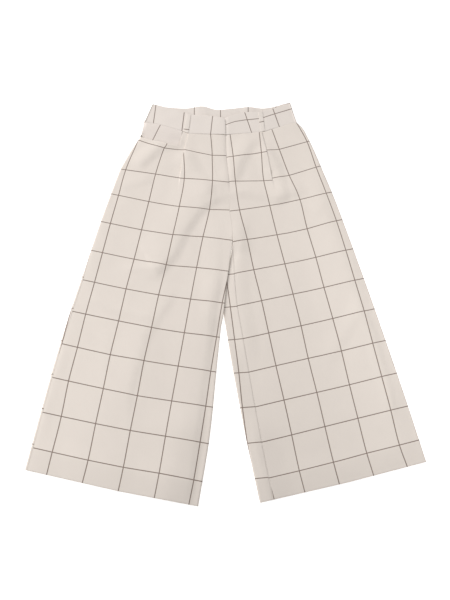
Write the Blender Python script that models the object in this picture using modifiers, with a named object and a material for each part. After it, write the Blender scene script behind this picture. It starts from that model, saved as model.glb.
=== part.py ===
"""Palazzo pants laid flat on a surface, front side up.

Metres, +Z up. The waist points to +Y, the hems to -Y, and the wearer's right leg
lies at -X. The origin is the middle of the underside. Tables are in millimetres.
Each cloth piece is a grid of points on the middle of its wall, made solid by a
Solidify modifier. The two legs are flattened tubes: a flat back panel curls up at
both edges and meets the front panel, which lies on it.
"""
import math

import bpy

MM = 0.001

# Walls and gaps.
WALL = 1.2            # panel cloth
HEM_WALL = 2.2        # panel cloth turned up at the hem
BAND_WALL = 2.2       # doubled waistband
FACING_WALL = 1.0
LOOP_WALL = 1.3
SEAM_GAP = 0.3        # between pieces that lie on each other
BAND_GAP = 0.6        # at the waist seam, whose edges run aslant
CENTRE_GAP = 1.1      # at the centre seams, whose edges run aslant too

# Lengths along the grain, measured down from the waist seam.
POCKET_DROP = 48.0    # front panel's pocket mouth below the waist seam
FLY_DROP = 128.0      # bottom of the fly's underlap
CROTCH_DROP = 280.0
HEM_TOP = 800.0       # upper edge of the turned-up hem
HEM_DROP = 844.0

# Where the origin lies in the tables' plan, so that the box is centred on it.
ORIGIN = (4.83, 1.89, 0.0)

# Edge rolls: how much wider than high the curl at a folded edge is, in the panels'
# cloth and in the thicker hem and waistband.
ROLL_FLATNESS = 1.4
THICK_FLATNESS = 1.05
EDGE_BLEND = 26.0     # distance over which an edge's height settles to the middle's
SEAM_BEND = 1.5       # arc over which a panel's end still follows the curl

# Crossed inseams: the right leg lies over the left one just below the crotch.
CROSS_LIFT = 4.7
CLIMB_REACH = 66.0    # how far from the inner edge the back panel starts to climb
CROTCH_Y = 107.0
CROSS_FADE = 90.0     # distance above the crotch over which the lift dies away

# Weft lines of each leg, one row each: drop along the grain, the point where the
# pleat or its grain line crosses, the climb toward the outer edge on the outer and
# on the inner side of it in degrees, and the bow of the outer side.
LAY_COLUMNS = ("drop", "x", "y", "rise_out", "rise_in", "bow")
LAY_RIGHT = [
    (0.0, -84.0, 383.5, 16.5, 2.3, 4.0),
    (58.0, -92.0, 340.0, 13.0, 8.5, -3.5),
    (132.0, -102.0, 267.0, 9.5, 6.0, 0.0),
    (206.0, -106.0, 195.0, 11.3, 4.0, 0.0),
    (280.0, -116.0, 124.5, 11.3, 6.0, 0.0),
    (428.0, -142.0, -18.0, 11.5, 7.8, 0.0),
    (576.0, -169.0, -165.0, 11.6, 9.2, 0.0),
    (724.0, -192.0, -312.0, 11.6, 9.5, 0.0),
    (844.0, -211.0, -433.0, 12.3, 10.3, 0.0),
]
LAY_LEFT = [
    (0.0, 90.0, 387.0, 18.2, 4.7, 0.0),
    (58.0, 101.0, 334.0, 15.8, 7.3, 0.0),
    (132.0, 112.0, 265.5, 14.6, 5.0, 0.0),
    (206.0, 125.0, 201.0, 13.2, 9.0, 0.0),
    (280.0, 139.5, 129.0, 14.0, 10.6, 0.0),
    (428.0, 171.5, -11.5, 13.7, 13.0, 0.0),
    (576.0, 199.5, -155.5, 13.7, 13.2, 0.0),
    (724.0, 228.4, -299.0, 13.9, 13.7, 0.0),
    (844.0, 252.4, -415.5, 14.1, 12.5, 0.0),
]
# The back panels climb higher at the waist, so their first rows differ.
BACK_WAIST_RIGHT = (0.0, -84.0, 408.5, 3.2, 0.0, 0.0)
BACK_WAIST_LEFT = (0.0, 90.0, 408.5, 4.6, 0.0, 0.0)

# Outlines, as x at a given y.
OUTER_RIGHT = [
    (-390.0, -402.0), (-249.0, -375.0), (-120.0, -348.5), (16.0, -315.0), (161.0, -278.0),
    (221.0, -261.0), (282.0, -243.0), (313.0, -230.0), (345.0, -214.5), (369.0, -200.5),
    (384.0, -195.0), (415.0, -190.0),
]
OUTER_LEFT = [
    (-376.0, 412.0), (-249.0, 381.0), (-120.0, 347.5), (16.0, 311.0), (161.0, 270.0),
    (221.0, 252.0), (282.0, 231.5), (345.0, 210.0), (377.0, 197.0), (399.0, 187.0),
    (416.0, 172.0),
]
CENTRE_SEAM = [
    (107.0, 20.0), (153.0, 18.0), (187.0, 13.5), (255.0, 12.0), (324.0, 6.0), (420.0, 4.0),
]
INNER_RIGHT = [
    (-461.0, -50.0), (-323.0, -28.0), (-173.0, -13.5), (-93.0, -5.5), (-66.0, -0.5),
    (-30.0, 3.0), (7.0, 7.0), (37.0, 11.0), (72.0, 15.5),
]
INNER_LEFT = [
    (-454.0, 72.0), (-323.0, 45.0), (-249.0, 31.0), (-173.0, 17.5), (-93.0, 4.5),
    (-66.0, 0.8), (-38.0, -1.5), (-10.0, -1.5), (20.0, 1.5), (47.0, 8.0), (72.0, 15.7),
]
# The left leg's inseam, which lies on top of the leg.
INSEAM_LEFT = [
    (-456.0, 99.0), (-334.0, 77.0), (-189.0, 53.0), (-113.0, 41.0), (-41.0, 29.5),
    (34.0, 24.0), (107.0, 20.3),
]

# Heights of the laid cloth by drop: the middle of the front panel's wall, the whole
# height at the outer edge, and at the inner edges of the two legs.
HEIGHT_COLUMNS = ("drop", "level", "outer", "inner_right", "inner_left")
HEIGHTS = [
    (0.0, 5.4, 6.5, 5.0, 4.0),
    (58.0, 5.2, 6.4, 5.0, 4.0),
    (132.0, 4.3, 6.2, 5.0, 4.0),
    (206.0, 3.5, 5.9, 5.0, 4.0),
    (300.0, 2.9, 5.3, 5.0, 4.0),
    (480.0, 2.9, 5.0, 5.0, 4.0),
    (560.0, 2.9, 5.0, 5.0, 5.0),
    (770.0, 2.9, 5.2, 5.2, 5.2),
    (803.0, 3.9, 6.2, 6.2, 6.2),
    (844.0, 4.0, 6.2, 6.2, 6.2),
]

# The pleat of each front by drop: length of the tucked layer, angle that each of its
# two turns takes, and the cloth in a turn. Below the pleat the turns open flat.
PLEAT_COLUMNS = ("drop", "tuck", "turn", "arc")
PLEAT = [
    (0.0, 15.0, 180.0, 2.7),
    (58.0, 11.0, 180.0, 2.7),
    (104.0, 3.0, 180.0, 2.7),
    (124.0, 0.8, 170.0, 2.7),
    (150.0, 0.6, 80.0, 3.0),
    (185.0, 0.6, 0.0, 5.0),
    (240.0, 2.0, 0.0, 20.0),
    (320.0, 8.0, 0.0, 42.0),
    (844.0, 8.0, 0.0, 48.0),
]
PLEAT_FLOOR = 2.1     # lowest middle of the wall where layers stack
PLEAT_LIP = 1.5       # outside the folded edge, where the lower layer lies flat
PLEAT_SETTLE = 20.0   # distance over which the lower layer climbs out
PLEAT_END = 150.0     # drop at which a pleat ends
PLEAT_FADE = 80.0     # length over which the cloth below it opens out

# Soft folds of the fronts: two ends, half width and height.
FOLDS = [
    (-8.0, 222.0, -118.0, -40.0, 26.0, 1.9),
    (-52.0, 206.0, -176.0, -180.0, 34.0, 1.7),
    (-128.0, 250.0, -232.0, -250.0, 40.0, 1.5),
    (-208.0, 318.0, -262.0, 60.0, 26.0, 1.3),
    (36.0, 226.0, 84.0, -70.0, 24.0, 1.9),
    (84.0, 214.0, 168.0, -190.0, 34.0, 1.6),
    (132.0, 236.0, 262.0, -270.0, 40.0, 1.6),
    (206.0, 318.0, 262.0, 96.0, 24.0, 1.5),
    (-196.0, -120.0, -262.0, -396.0, 46.0, 1.2),
    (232.0, -150.0, 306.0, -380.0, 46.0, 1.2),
]

# Where the rows of the panel grids lie.
PANEL_DROPS = [
    0.0, 24.0, POCKET_DROP, 70.0, 92.0, 112.0, 128.0, 142.0, 158.0, 176.0, 200.0, 226.0,
    252.0, 268.0, 276.0, 283.0, 294.0, 312.0, 334.0, 360.0, 392.0, 428.0, 466.0, 510.0,
    560.0, 620.0, 690.0, 760.0, HEM_TOP - 4.0, HEM_TOP, 822.0, HEM_DROP,
]

# Waistband stations: fraction from the outer edge to the inner end, height of the
# band, lean of its height toward the centre, and the middle of its wall above ground.
BAND_COLUMNS = ("along", "height", "lean", "level")
BAND_RIGHT = [
    (0.0, 49.0, 18.0, 5.4),
    (0.25, 48.0, 11.0, 5.4),
    (0.5, 50.0, 6.0, 5.4),
    (0.7, 51.0, 3.0, 5.5),
    (0.81, 49.5, 1.8, 6.5),
    (0.89, 47.5, 0.8, 7.4),
    (0.965, 45.0, 0.0, 7.4),
    (1.0, 38.0, -1.0, 7.4),
]
BAND_LEFT = [
    (0.0, 50.0, 13.0, 5.4),
    (0.25, 52.0, 9.0, 5.4),
    (0.45, 55.0, 4.0, 5.4),
    (0.62, 57.0, 2.0, 5.3),
    (0.76, 53.0, 2.0, 4.7),
    (0.84, 46.0, 1.0, 4.1),
    (1.0, 42.0, 0.0, 4.1),
]
BAND_TABLES = {"right": BAND_RIGHT, "left": BAND_LEFT}
BAND_RUN_ON = {"right": 0.5, "left": 25.0}    # past the centre seam, under the tab
BAND_END_RIGHT = 5.0
# The back band: x at its seam, height and lean of its height toward +X.
BAND_BACK = [
    (-190.0, 49.0, 18.0), (-140.0, 46.0, 8.0), (-93.0, 46.0, 2.0), (-52.0, 52.0, 0.0),
    (-16.0, 43.0, 0.0), (20.0, 46.0, 0.0), (60.0, 50.0, 0.0), (99.0, 46.0, -2.0),
    (137.0, 54.0, -6.0), (172.0, 50.0, -13.0),
]
BAND_ROWS = 4
BAND_STEPS = 7       # on each side of the pleat
BAND_ROLL_STEPS = 4

# Belt loops: width, how far the front ones stand off the band, the x of each at its
# waist seam, and a front loop's rise along the band's height, as shares of both.
LOOP_WIDTH = 12.0
LOOP_RISE = 1.6
FRONT_LOOPS = {"right": -89.0, "left": 92.0}
LOOP_PROFILE = [
    (0.01, 0.0), (0.1, 0.0), (0.15, 0.4), (0.22, 1.0), (0.5, 1.1), (0.8, 1.0),
    (0.88, 0.4), (0.92, 0.0), (0.98, 0.0),
]
BACK_LOOPS = {"right": -52.0, "left": 60.0}
BACK_LOOP_WALL = 1.2
BACK_LOOP_LIFT = 1.6
BACK_LOOP_COLUMNS = (16.0, 12.0, 8.0, -8.0, -12.0, -16.0)

# The facing behind the pocket mouth.
FACING_DROPS = (0.7, 14.0, 26.0, 36.0, 42.0, 48.0, 62.0)
FACING_INSETS = (0.5, 1.5, 4.0, 9.0)
FACING_TUCK = 8.0         # how far its hidden edge stays inside the leg's edge
FACING_FLOOR = 2.05
POCKET_STRIP = 14.0       # cloth between the pocket mouth and the pleat

# Fly and its closures.
FLY_UNDERLAP = 34.0
FLY_LEVEL_RIGHT = 6.1     # middle of each front's wall at the fly
FLY_LEVEL_LEFT = 3.4
FLY_BLEND = 26.0          # distance over which a front settles to those levels
FLY_FADE = 30.0           # length below the fly over which they even out
ZIP_WIDTH = 22.0
ZIP_WALL = 0.9
ZIP_DROPS = (4.0, 40.0, 76.0, 108.0)
HOOK_SIZE = (10.0, 9.0, 0.5)

# Sides: sign of x, tables, and how far the outer side seam lies on top of the leg.
SIDES = {
    "right": {
        "sign": -1.0, "lay": LAY_RIGHT, "back_waist": BACK_WAIST_RIGHT,
        "outer": OUTER_RIGHT, "inner": INNER_RIGHT + CENTRE_SEAM,
        "inner_height": "inner_right", "seam_on_top": 5.0,
    },
    "left": {
        "sign": 1.0, "lay": LAY_LEFT, "back_waist": BACK_WAIST_LEFT,
        "outer": OUTER_LEFT, "inner": INNER_LEFT + CENTRE_SEAM,
        "inner_height": "inner_left", "seam_on_top": 0.0,
    },
}

MATERIALS = {
    "cloth": ((0.76, 0.70, 0.62), 0.85, 0.0),
    "band": ((0.75, 0.69, 0.61), 0.85, 0.0),
    "facing": ((0.73, 0.68, 0.61), 0.85, 0.0),
    "loop": ((0.74, 0.68, 0.60), 0.85, 0.0),
    "zip": ((0.62, 0.56, 0.48), 0.6, 0.0),
    "metal": ((0.55, 0.55, 0.56), 0.35, 1.0),
}


def clamp(value, low=0.0, high=1.0):
    return max(low, min(high, value))


def smooth(value):
    """0 to 1 with level ends."""
    value = clamp(value)
    return value * value * (3.0 - 2.0 * value)


def lerp(start, end, share):
    return start + (end - start) * share


def curve(table, at, column=1):
    """A smooth curve through a table's rows, held level past its ends."""
    at = clamp(at, table[0][0], table[-1][0])
    index = 0
    while index < len(table) - 2 and at > table[index + 1][0]:
        index += 1
    (x0, y0), (x1, y1) = [(table[i][0], table[i][column]) for i in (index, index + 1)]
    slope = (y1 - y0) / (x1 - x0)
    before = after = slope
    if index > 0:
        previous = table[index - 1]
        before = (y1 - previous[column]) / (x1 - previous[0])
    if index < len(table) - 2:
        following = table[index + 2]
        after = (following[column] - y0) / (following[0] - x0)
    span = x1 - x0
    t = (at - x0) / span
    return ((2 * t ** 3 - 3 * t ** 2 + 1) * y0 + (t ** 3 - 2 * t ** 2 + t) * span * before
            + (3 * t ** 2 - 2 * t ** 3) * y1 + (t ** 3 - t ** 2) * span * after)


def column_of(columns, table, name, at):
    return curve(table, at, columns.index(name))


def height_at(drop, name):
    return column_of(HEIGHT_COLUMNS, HEIGHTS, name, drop)


def wall_at(drop):
    return HEM_WALL if drop >= HEM_TOP else WALL


def fold_height(x, y):
    """Height that the soft folds add at a point of a front."""
    total = 0.0
    for x0, y0, x1, y1, half_width, height in FOLDS:
        run_x, run_y = x1 - x0, y1 - y0
        length = math.hypot(run_x, run_y)
        along = ((x - x0) * run_x + (y - y0) * run_y) / length ** 2
        across = abs((x - x0) * run_y - (y - y0) * run_x) / length
        if 0.0 < along < 1.0 and across < half_width:
            profile = 0.5 + 0.5 * math.cos(math.pi * across / half_width)
            total += height * profile * math.sin(math.pi * along) ** 0.7
    return total


def cross_lift(side, x, y):
    """Lift near the crotch, where the right leg climbs over the left one."""
    above = 1.0 - smooth((y - CROTCH_Y - 4.0) / CROSS_FADE)
    if side == "right":
        below = smooth((y + 132.0) / 66.0)
        return CROSS_LIFT * above * below * smooth((x + 62.0) / 56.0)
    below = smooth((y - 74.0) / 30.0)
    return CROSS_LIFT * above * below * (1.0 - smooth((x - 23.0) / 52.0))


class Row:
    """One weft line of a leg: its plan points and heights at a given drop."""

    def __init__(self, side, drop, back=False):
        self.side = side
        self.drop = drop
        facts = SIDES[side]
        self.sign = facts["sign"]
        table = facts["lay"]
        if back:
            table = [facts["back_waist"]] + [row for row in table if row[0] > 100.0]
        values = {name: column_of(LAY_COLUMNS, table, name, drop) for name in LAY_COLUMNS[1:]}
        self.x, self.y, self.bow = values["x"], values["y"], values["bow"]
        out = math.radians(values["rise_out"])
        into = math.radians(values["rise_in"])
        self.outward = (self.sign * math.cos(out), math.sin(out))
        self.inward = (-self.sign * math.cos(into), -math.sin(into))
        self.reach_out = self._reach(self.outward, facts["outer"])
        self.reach_in = self._reach(self.inward, facts["inner"])
        self.wall = wall_at(drop)
        self.outer_height = height_at(drop, "outer")
        self.inner_height = height_at(drop, facts["inner_height"])
        self.level = height_at(drop, "level")

    def _reach(self, direction, outline):
        """Distance from the row's middle point to an outline."""
        reach = 100.0
        for _ in range(12):
            edge_x = curve(outline, self.y + reach * direction[1])
            reach = (edge_x - self.x) / direction[0]
        return reach

    def plan(self, along):
        """Plan point at a distance from the middle, outward if positive."""
        if along >= 0.0:
            x = self.x + along * self.outward[0]
            y = self.y + along * self.outward[1]
            share = along / self.reach_out
            return x, y + 4.0 * self.bow * share * (1.0 - share)
        return self.x - along * self.inward[0], self.y - along * self.inward[1]

    def front_level(self, along):
        """Middle of the front's wall, without folds, away from the pleat."""
        from_outer = self.reach_out - along
        from_inner = self.reach_in + along
        rim = self.outer_height - self.wall / 2
        level = lerp(rim, self.level, smooth(from_outer / EDGE_BLEND))
        if self.drop > CROTCH_DROP - 12.0:
            closed = smooth((self.drop - CROTCH_DROP + 12.0) / 24.0)
            rim = self.inner_height - self.wall / 2
            level += closed * (rim - level) * (1.0 - smooth(from_inner / EDGE_BLEND))
        return level

    def point(self, along, z):
        x, y = self.plan(along)
        return x, y, z + cross_lift(self.side, x, y)

    def top_point(self, along):
        """A point of the cloth on top, soft folds included."""
        x, y = self.plan(along)
        near_edge = min(self.reach_out - along, self.reach_in + along)
        folds = fold_height(x, y) * smooth((near_edge - 6.0) / 30.0)
        return x, y, self.front_level(along) + folds + cross_lift(self.side, x, y)


class Roll:
    """The curl of a leg's edge. Arc 0 is its outermost line, and plus is up."""

    def __init__(self, row, outer):
        self.row = row
        self.outer = outer
        self.height = row.outer_height if outer else row.inner_height
        self.rise = (self.height - row.wall) / 2
        self.depth = self.rise * (ROLL_FLATNESS if row.wall <= WALL else THICK_FLATNESS)
        self.quarter = math.pi / 2 * math.sqrt((self.rise ** 2 + self.depth ** 2) / 2)

    def seam_half(self):
        """Arc from a seam's middle to a wall's end, wider where the wall is thick."""
        return 0.18 + 0.29 * self.row.wall

    def inset(self, arc):
        """Distance from the outline to the middle of the wall."""
        if abs(arc) <= self.quarter:
            angle = arc / self.quarter * math.pi / 2
            return self.row.wall / 2 + self.depth * (1.0 - math.cos(angle))
        return self.row.wall / 2 + self.depth + abs(arc) - self.quarter

    def arc(self, inset):
        """The upper arc whose wall lies at a given inset."""
        past = inset - self.row.wall / 2 - self.depth
        if past >= 0.0:
            return self.quarter + past
        share = clamp(-past / self.depth)
        return self.quarter * math.acos(share) / (math.pi / 2)

    def point(self, arc, shift=0.0):
        """The wall's point at an arc, with the outline moved out by a shift."""
        inset = self.inset(arc) - shift
        if self.outer:
            along = self.row.reach_out - inset
        else:
            along = inset - self.row.reach_in
        if arc > self.quarter:
            return self.row.top_point(along)
        middle = self.height / 2
        if abs(arc) <= self.quarter:
            z = middle + self.rise * math.sin(arc / self.quarter * math.pi / 2)
        else:
            z = self.row.wall / 2
        return self.row.point(along, z)


def arcs_between(start, end, bend_end, bend_steps, flat_steps):
    """Arc values from start to end, closer together where the wall bends."""
    share = bend_steps / (bend_steps + flat_steps)
    turn = min(bend_end, start + (end - start) * share)
    values = [lerp(start, turn, i / bend_steps) for i in range(bend_steps)]
    return values + [lerp(turn, end, i / flat_steps) for i in range(flat_steps + 1)]


def seam_arc_outer(row, roll):
    """Where the side seam lies on the outer roll."""
    on_top = SIDES[row.side]["seam_on_top"] * smooth((row.drop - 330.0) / 110.0)
    return roll.arc(roll.row.wall / 2 + on_top) if on_top > 0.0 else 0.0


def seam_arc_inner(row, roll):
    """Where the inseam lies on the inner roll, and how open the roll still is."""
    opening = roll.quarter * (1.0 - smooth((row.drop - 266.0) / 17.0))
    if row.side == "right":
        return 0.0, opening
    edge_y = row.plan(-row.reach_in)[1]
    inseam = (curve(INSEAM_LEFT, edge_y) - curve(INNER_LEFT + CENTRE_SEAM, edge_y))
    inseam *= smooth((CROTCH_Y + 2.0 - edge_y) / 8.0)
    return roll.arc(max(inseam, roll.row.wall / 2)), opening


def pleat_columns(row, steps):
    """Distance outward and height of the pleat's wall, from its outer end inward."""
    tuck, turn, arc = [column_of(PLEAT_COLUMNS, PLEAT, name, row.drop)
                       for name in PLEAT_COLUMNS[1:]]
    turn = math.radians(clamp(turn, 0.0, 180.0))
    points = [(0.0, 0.0)]
    headings = [turn * (i + 0.5) / steps for i in range(steps)]
    moves = [(arc / steps, heading) for heading in headings]
    moves += [(max(tuck, 0.5), turn)]
    moves += [(arc / steps, heading) for heading in reversed(headings)]
    for length, heading in moves:
        x, z = points[-1]
        points.append((x + length * math.cos(heading), z + length * math.sin(heading)))
    across, rise = points[-1]
    # The folded edge that shows lies on the row's middle point.
    radius = arc / math.pi
    centre = (tuck / 2 + radius) * turn / math.pi
    start = centre - across / 2
    low = max(PLEAT_FLOOR, row.level - rise) if rise > 0.01 else row.level
    return [(-(start + x), low + z) for x, z in points]


def front_row(side, drop, steps):
    """The front panel's points along one weft line, from outer to inner edge."""
    row = Row(side, drop)
    outer = Roll(row, True)
    inner = Roll(row, False)
    points = []
    seam = seam_arc_outer(row, outer) + outer.seam_half()
    turn_end = max(outer.quarter, seam + SEAM_BEND)
    for i in range(steps["roll"]):
        points.append(outer.point(lerp(seam, turn_end, i / steps["roll"])))
    edge = row.reach_out - outer.inset(turn_end)
    pleat = pleat_columns(row, steps["turn"])
    first, last = pleat[0], pleat[-1]
    spread = smooth((drop - PLEAT_END) / PLEAT_FADE)
    near_pleat = [lerp(edge, POCKET_STRIP, i / steps["outer"]) for i in range(steps["outer"])]
    near_pleat += [POCKET_STRIP, PLEAT_LIP]
    count = len(near_pleat)
    for i, close in enumerate(near_pleat):
        along = lerp(close, lerp(edge, first[0], i / count), spread)
        x, y, z = row.top_point(along)
        dip = (1.0 - smooth((along - PLEAT_LIP) / PLEAT_SETTLE)) * (1.0 - spread)
        points.append((x, y, lerp(z, first[1] + cross_lift(side, x, y), dip)))
    for along, z in pleat:
        x, y = row.plan(along)
        lift = cross_lift(side, x, y) + fold_height(x, y) * spread
        points.append((x, y, z + lift))
    seam, opening = seam_arc_inner(row, inner)
    arc = max(seam + inner.seam_half(), opening)
    shift = inner.inset(arc) - CENTRE_GAP / 2 if opening > 0.0 else 0.0
    turn_end = max(inner.quarter, arc + SEAM_BEND)
    edge = inner.inset(turn_end) - shift - row.reach_in
    for i in range(1, steps["centre"]):
        along = lerp(last[0], edge, i / steps["centre"])
        x, y, z = row.top_point(along)
        near = 1.0 - smooth((last[0] - along) / 34.0)
        height = lerp(z, last[1] + cross_lift(side, x, y), near)
        points.append((x, y, height + fly_rise(side, row, along)))
    underlap = fly_underlap(side, drop)
    for i in range(steps["roll"] + 1):
        x, y, z = inner.point(lerp(turn_end, arc, i / steps["roll"]), shift)
        along = lerp(edge, CENTRE_GAP / 2 - row.reach_in - underlap, i / steps["roll"])
        if opening >= inner.quarter * 0.999:
            x, y, z = row.top_point(along)
        points.append((x, y, z + fly_rise(side, row, along)))
    return points


def fly_underlap(side, drop):
    """How far the left front runs on under the right one."""
    if side == "right":
        return 0.0
    return FLY_UNDERLAP * (1.0 - smooth((drop - FLY_DROP + 16.0) / 16.0))


def fly_rise(side, row, along):
    """Height change toward the fly, where the right front lies over the left."""
    from_edge = row.reach_in + along
    if side == "right":
        change = FLY_LEVEL_RIGHT - row.level
        near = 1.0 - smooth((from_edge - FLY_UNDERLAP - 3.0) / FLY_BLEND)
    else:
        change = FLY_LEVEL_LEFT - row.level
        near = 1.0 - smooth((from_edge - 3.0) / FLY_BLEND)
    fade = 1.0 - smooth((row.drop - FLY_DROP) / FLY_FADE)
    return change * near * fade


def back_row(side, drop, steps):
    """The back panel's points, from the side seam round the leg to the inseam."""
    row = Row(side, drop, back=True)
    outer = Roll(row, True)
    inner = Roll(row, False)
    seam = seam_arc_outer(row, outer) - outer.seam_half()
    points = []
    for arc in reversed(arcs_between(-outer.quarter, seam, outer.quarter, steps["roll"], 1)):
        points.append(outer.point(arc))
    seam, opening = seam_arc_inner(row, inner)
    half_gap = inner.seam_half()
    arc = seam - half_gap if opening <= 0.0 else -max(opening, half_gap)
    shift = inner.inset(arc) - CENTRE_GAP / 2 if opening > 0.0 else 0.0
    start = -inner.quarter
    flat_end = inner.inset(start) - shift - row.reach_in
    flat_start = row.reach_out - outer.inset(-outer.quarter)
    for along in (flat_start / 2, 0.0):
        points.append(row.point(along, row.wall / 2))
    for i in range(steps["climb"]):
        along = flat_end + CLIMB_REACH * (1.0 - i / steps["climb"])
        points.append(row.point(along, row.wall / 2))
    if arc <= start + 0.3:
        # A flat end at the centre seam: the last columns lie side by side.
        count = steps["roll"] + steps["strip"]
        for i in range(count + 1):
            along = lerp(flat_end + 8.0, CENTRE_GAP / 2 - row.reach_in, i / count)
            points.append(row.point(along, row.wall / 2))
        return points
    for value in arcs_between(start, arc, inner.quarter, steps["roll"], steps["strip"]):
        points.append(inner.point(value, shift))
    return points


def make_material(name):
    colour, roughness, metallic = MATERIALS[name]
    material = bpy.data.materials.new(name)
    material.use_nodes = True
    shader = material.node_tree.nodes["Principled BSDF"]
    shader.inputs["Base Color"].default_value = (*colour, 1.0)
    shader.inputs["Roughness"].default_value = roughness
    shader.inputs["Metallic"].default_value = metallic
    return material


def make_sheet(name, rows, walls, material, collection, skip=None):
    """Cloth from rows of points on the middle of its wall, one thickness a row."""
    width = len(rows[0])
    used = {}
    vertices = []
    faces = []

    def vertex(i, j):
        if (i, j) not in used:
            used[i, j] = len(vertices)
            x, y, z = rows[i][j]
            vertices.append([(value - start) * MM for value, start in zip((x, y, z), ORIGIN)])
        return used[i, j]

    for i in range(len(rows) - 1):
        for j in range(width - 1):
            if skip is None or not skip(i, j):
                faces.append([vertex(i, j), vertex(i + 1, j), vertex(i + 1, j + 1), vertex(i, j + 1)])
    mesh = bpy.data.meshes.new(name)
    mesh.from_pydata(vertices, [], faces)
    mesh.materials.append(material)
    sheet = bpy.data.objects.new(name, mesh)
    collection.objects.link(sheet)
    thickest = max(walls)
    group = sheet.vertex_groups.new(name="wall")
    for (i, _), index in used.items():
        group.add([index], walls[i] / thickest, "REPLACE")
    solidify = sheet.modifiers.new("wall", "SOLIDIFY")
    solidify.thickness = thickest * MM
    solidify.offset = 0.0
    solidify.use_even_offset = True
    solidify.vertex_group = group.name
    mesh.shade_smooth()
    mesh.set_sharp_from_angle(angle=math.radians(50.0))
    return sheet


def make_fronts(material, collection):
    steps = {"roll": 4, "outer": 4, "turn": 4, "centre": 6}
    walls = [wall_at(drop) for drop in PANEL_DROPS]
    pocket_row = PANEL_DROPS.index(POCKET_DROP)
    pocket_column = steps["roll"] + steps["outer"]
    for side in SIDES:
        rows = [front_row(side, drop, steps) for drop in PANEL_DROPS]

        def pocket_mouth(i, j):
            return i < pocket_row and j < pocket_column

        skip = pocket_mouth if side == "right" else None
        make_sheet(f"front_panel_{side}", rows, walls, material, collection, skip)


def make_backs(material, collection):
    steps = {"roll": 5, "climb": 6, "strip": 3}
    walls = [wall_at(drop) for drop in PANEL_DROPS]
    for side in SIDES:
        rows = [back_row(side, drop, steps) for drop in PANEL_DROPS]
        make_sheet(f"back_panel_{side}", rows, walls, material, collection)


def band_row(side):
    """The waist seam of a front, with the band's own wall and height."""
    row = Row(side, 0.0)
    row.wall = BAND_WALL
    return row


def band_point(side, row, along, share_up, z=None):
    """Plan and height of a front band's wall, share_up of the way up from its seam."""
    end = -row.reach_in - BAND_RUN_ON[side]
    share = (row.reach_out - along) / (row.reach_out - end)
    table = BAND_TABLES[side]
    height, lean, level = [column_of(BAND_COLUMNS, table, name, share)
                           for name in BAND_COLUMNS[1:]]
    x, y = row.plan(along)
    x -= row.sign * lean * share_up
    y += BAND_GAP + height * share_up
    return x, y, level if z is None else z


def make_front_bands(material, collection):
    for side in SIDES:
        row = band_row(side)
        roll = Roll(row, True)
        places = []
        for i in range(BAND_ROLL_STEPS):
            arc = lerp(roll.seam_half(), roll.quarter, i / BAND_ROLL_STEPS)
            angle = arc / roll.quarter * math.pi / 2
            z = roll.height / 2 + roll.rise * math.sin(angle)
            places.append((row.reach_out - roll.inset(arc), z))
        start = row.reach_out - roll.inset(roll.quarter)
        end = -row.reach_in - BAND_RUN_ON[side]
        places += [(lerp(start, 0.0, i / BAND_STEPS), None) for i in range(BAND_STEPS)]
        places += [(lerp(0.0, end, i / BAND_STEPS), None) for i in range(BAND_STEPS + 1)]
        rows = []
        for i in reversed(range(BAND_ROWS + 1)):
            rows.append([band_point(side, row, along, i / BAND_ROWS, z) for along, z in places])
        walls = [BAND_WALL] * len(rows)
        make_sheet(f"waistband_front_{side}", rows, walls, material, collection)


def back_band_lift(x):
    """The back band is raised over the belt loops that lie under it."""
    lift = 0.0
    for loop_x in BACK_LOOPS.values():
        past = abs(x - loop_x) - LOOP_WIDTH / 2 - 1.5
        lift = max(lift, BACK_LOOP_LIFT * (1.0 - smooth(past / 8.0)))
    return lift


def make_back_band(material, collection):
    places = []
    for side in SIDES:
        row = Row(side, 0.0, back=True)
        row.wall = BAND_WALL
        roll = Roll(row, True)
        half = []
        for i in range(BAND_ROLL_STEPS):
            arc = -lerp(roll.seam_half(), roll.quarter, i / BAND_ROLL_STEPS)
            x, y = row.plan(row.reach_out - roll.inset(arc))
            angle = arc / roll.quarter * math.pi / 2
            half.append((x, y, roll.height / 2 + roll.rise * math.sin(angle)))
        start_x = row.plan(row.reach_out - roll.inset(-roll.quarter))[0]
        loop_x = BACK_LOOPS[side]
        marks = [start_x, lerp(start_x, row.x, 0.5), row.x]
        marks += [loop_x + row.sign * step for step in BACK_LOOP_COLUMNS]
        marks += [loop_x * 0.35]
        for x in marks:
            along = (x - row.x) / row.outward[0] if abs(x) > abs(row.x) else (
                (row.x - x) / row.inward[0])
            _, y = row.plan(along)
            half.append((x, y, BAND_WALL / 2 + back_band_lift(x)))
        places.append(half)
    line = places[0] + places[1][::-1]
    rows = []
    for i in range(BAND_ROWS + 1):
        share = i / BAND_ROWS
        row = []
        for x, y, z in line:
            height = curve(BAND_BACK, x, 1)
            lean = curve(BAND_BACK, x, 2)
            row.append((x + lean * share, y + BAND_GAP + height * share, z))
        rows.append(row)
    make_sheet("waistband_back", rows, [BAND_WALL] * len(rows), material, collection)


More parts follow.
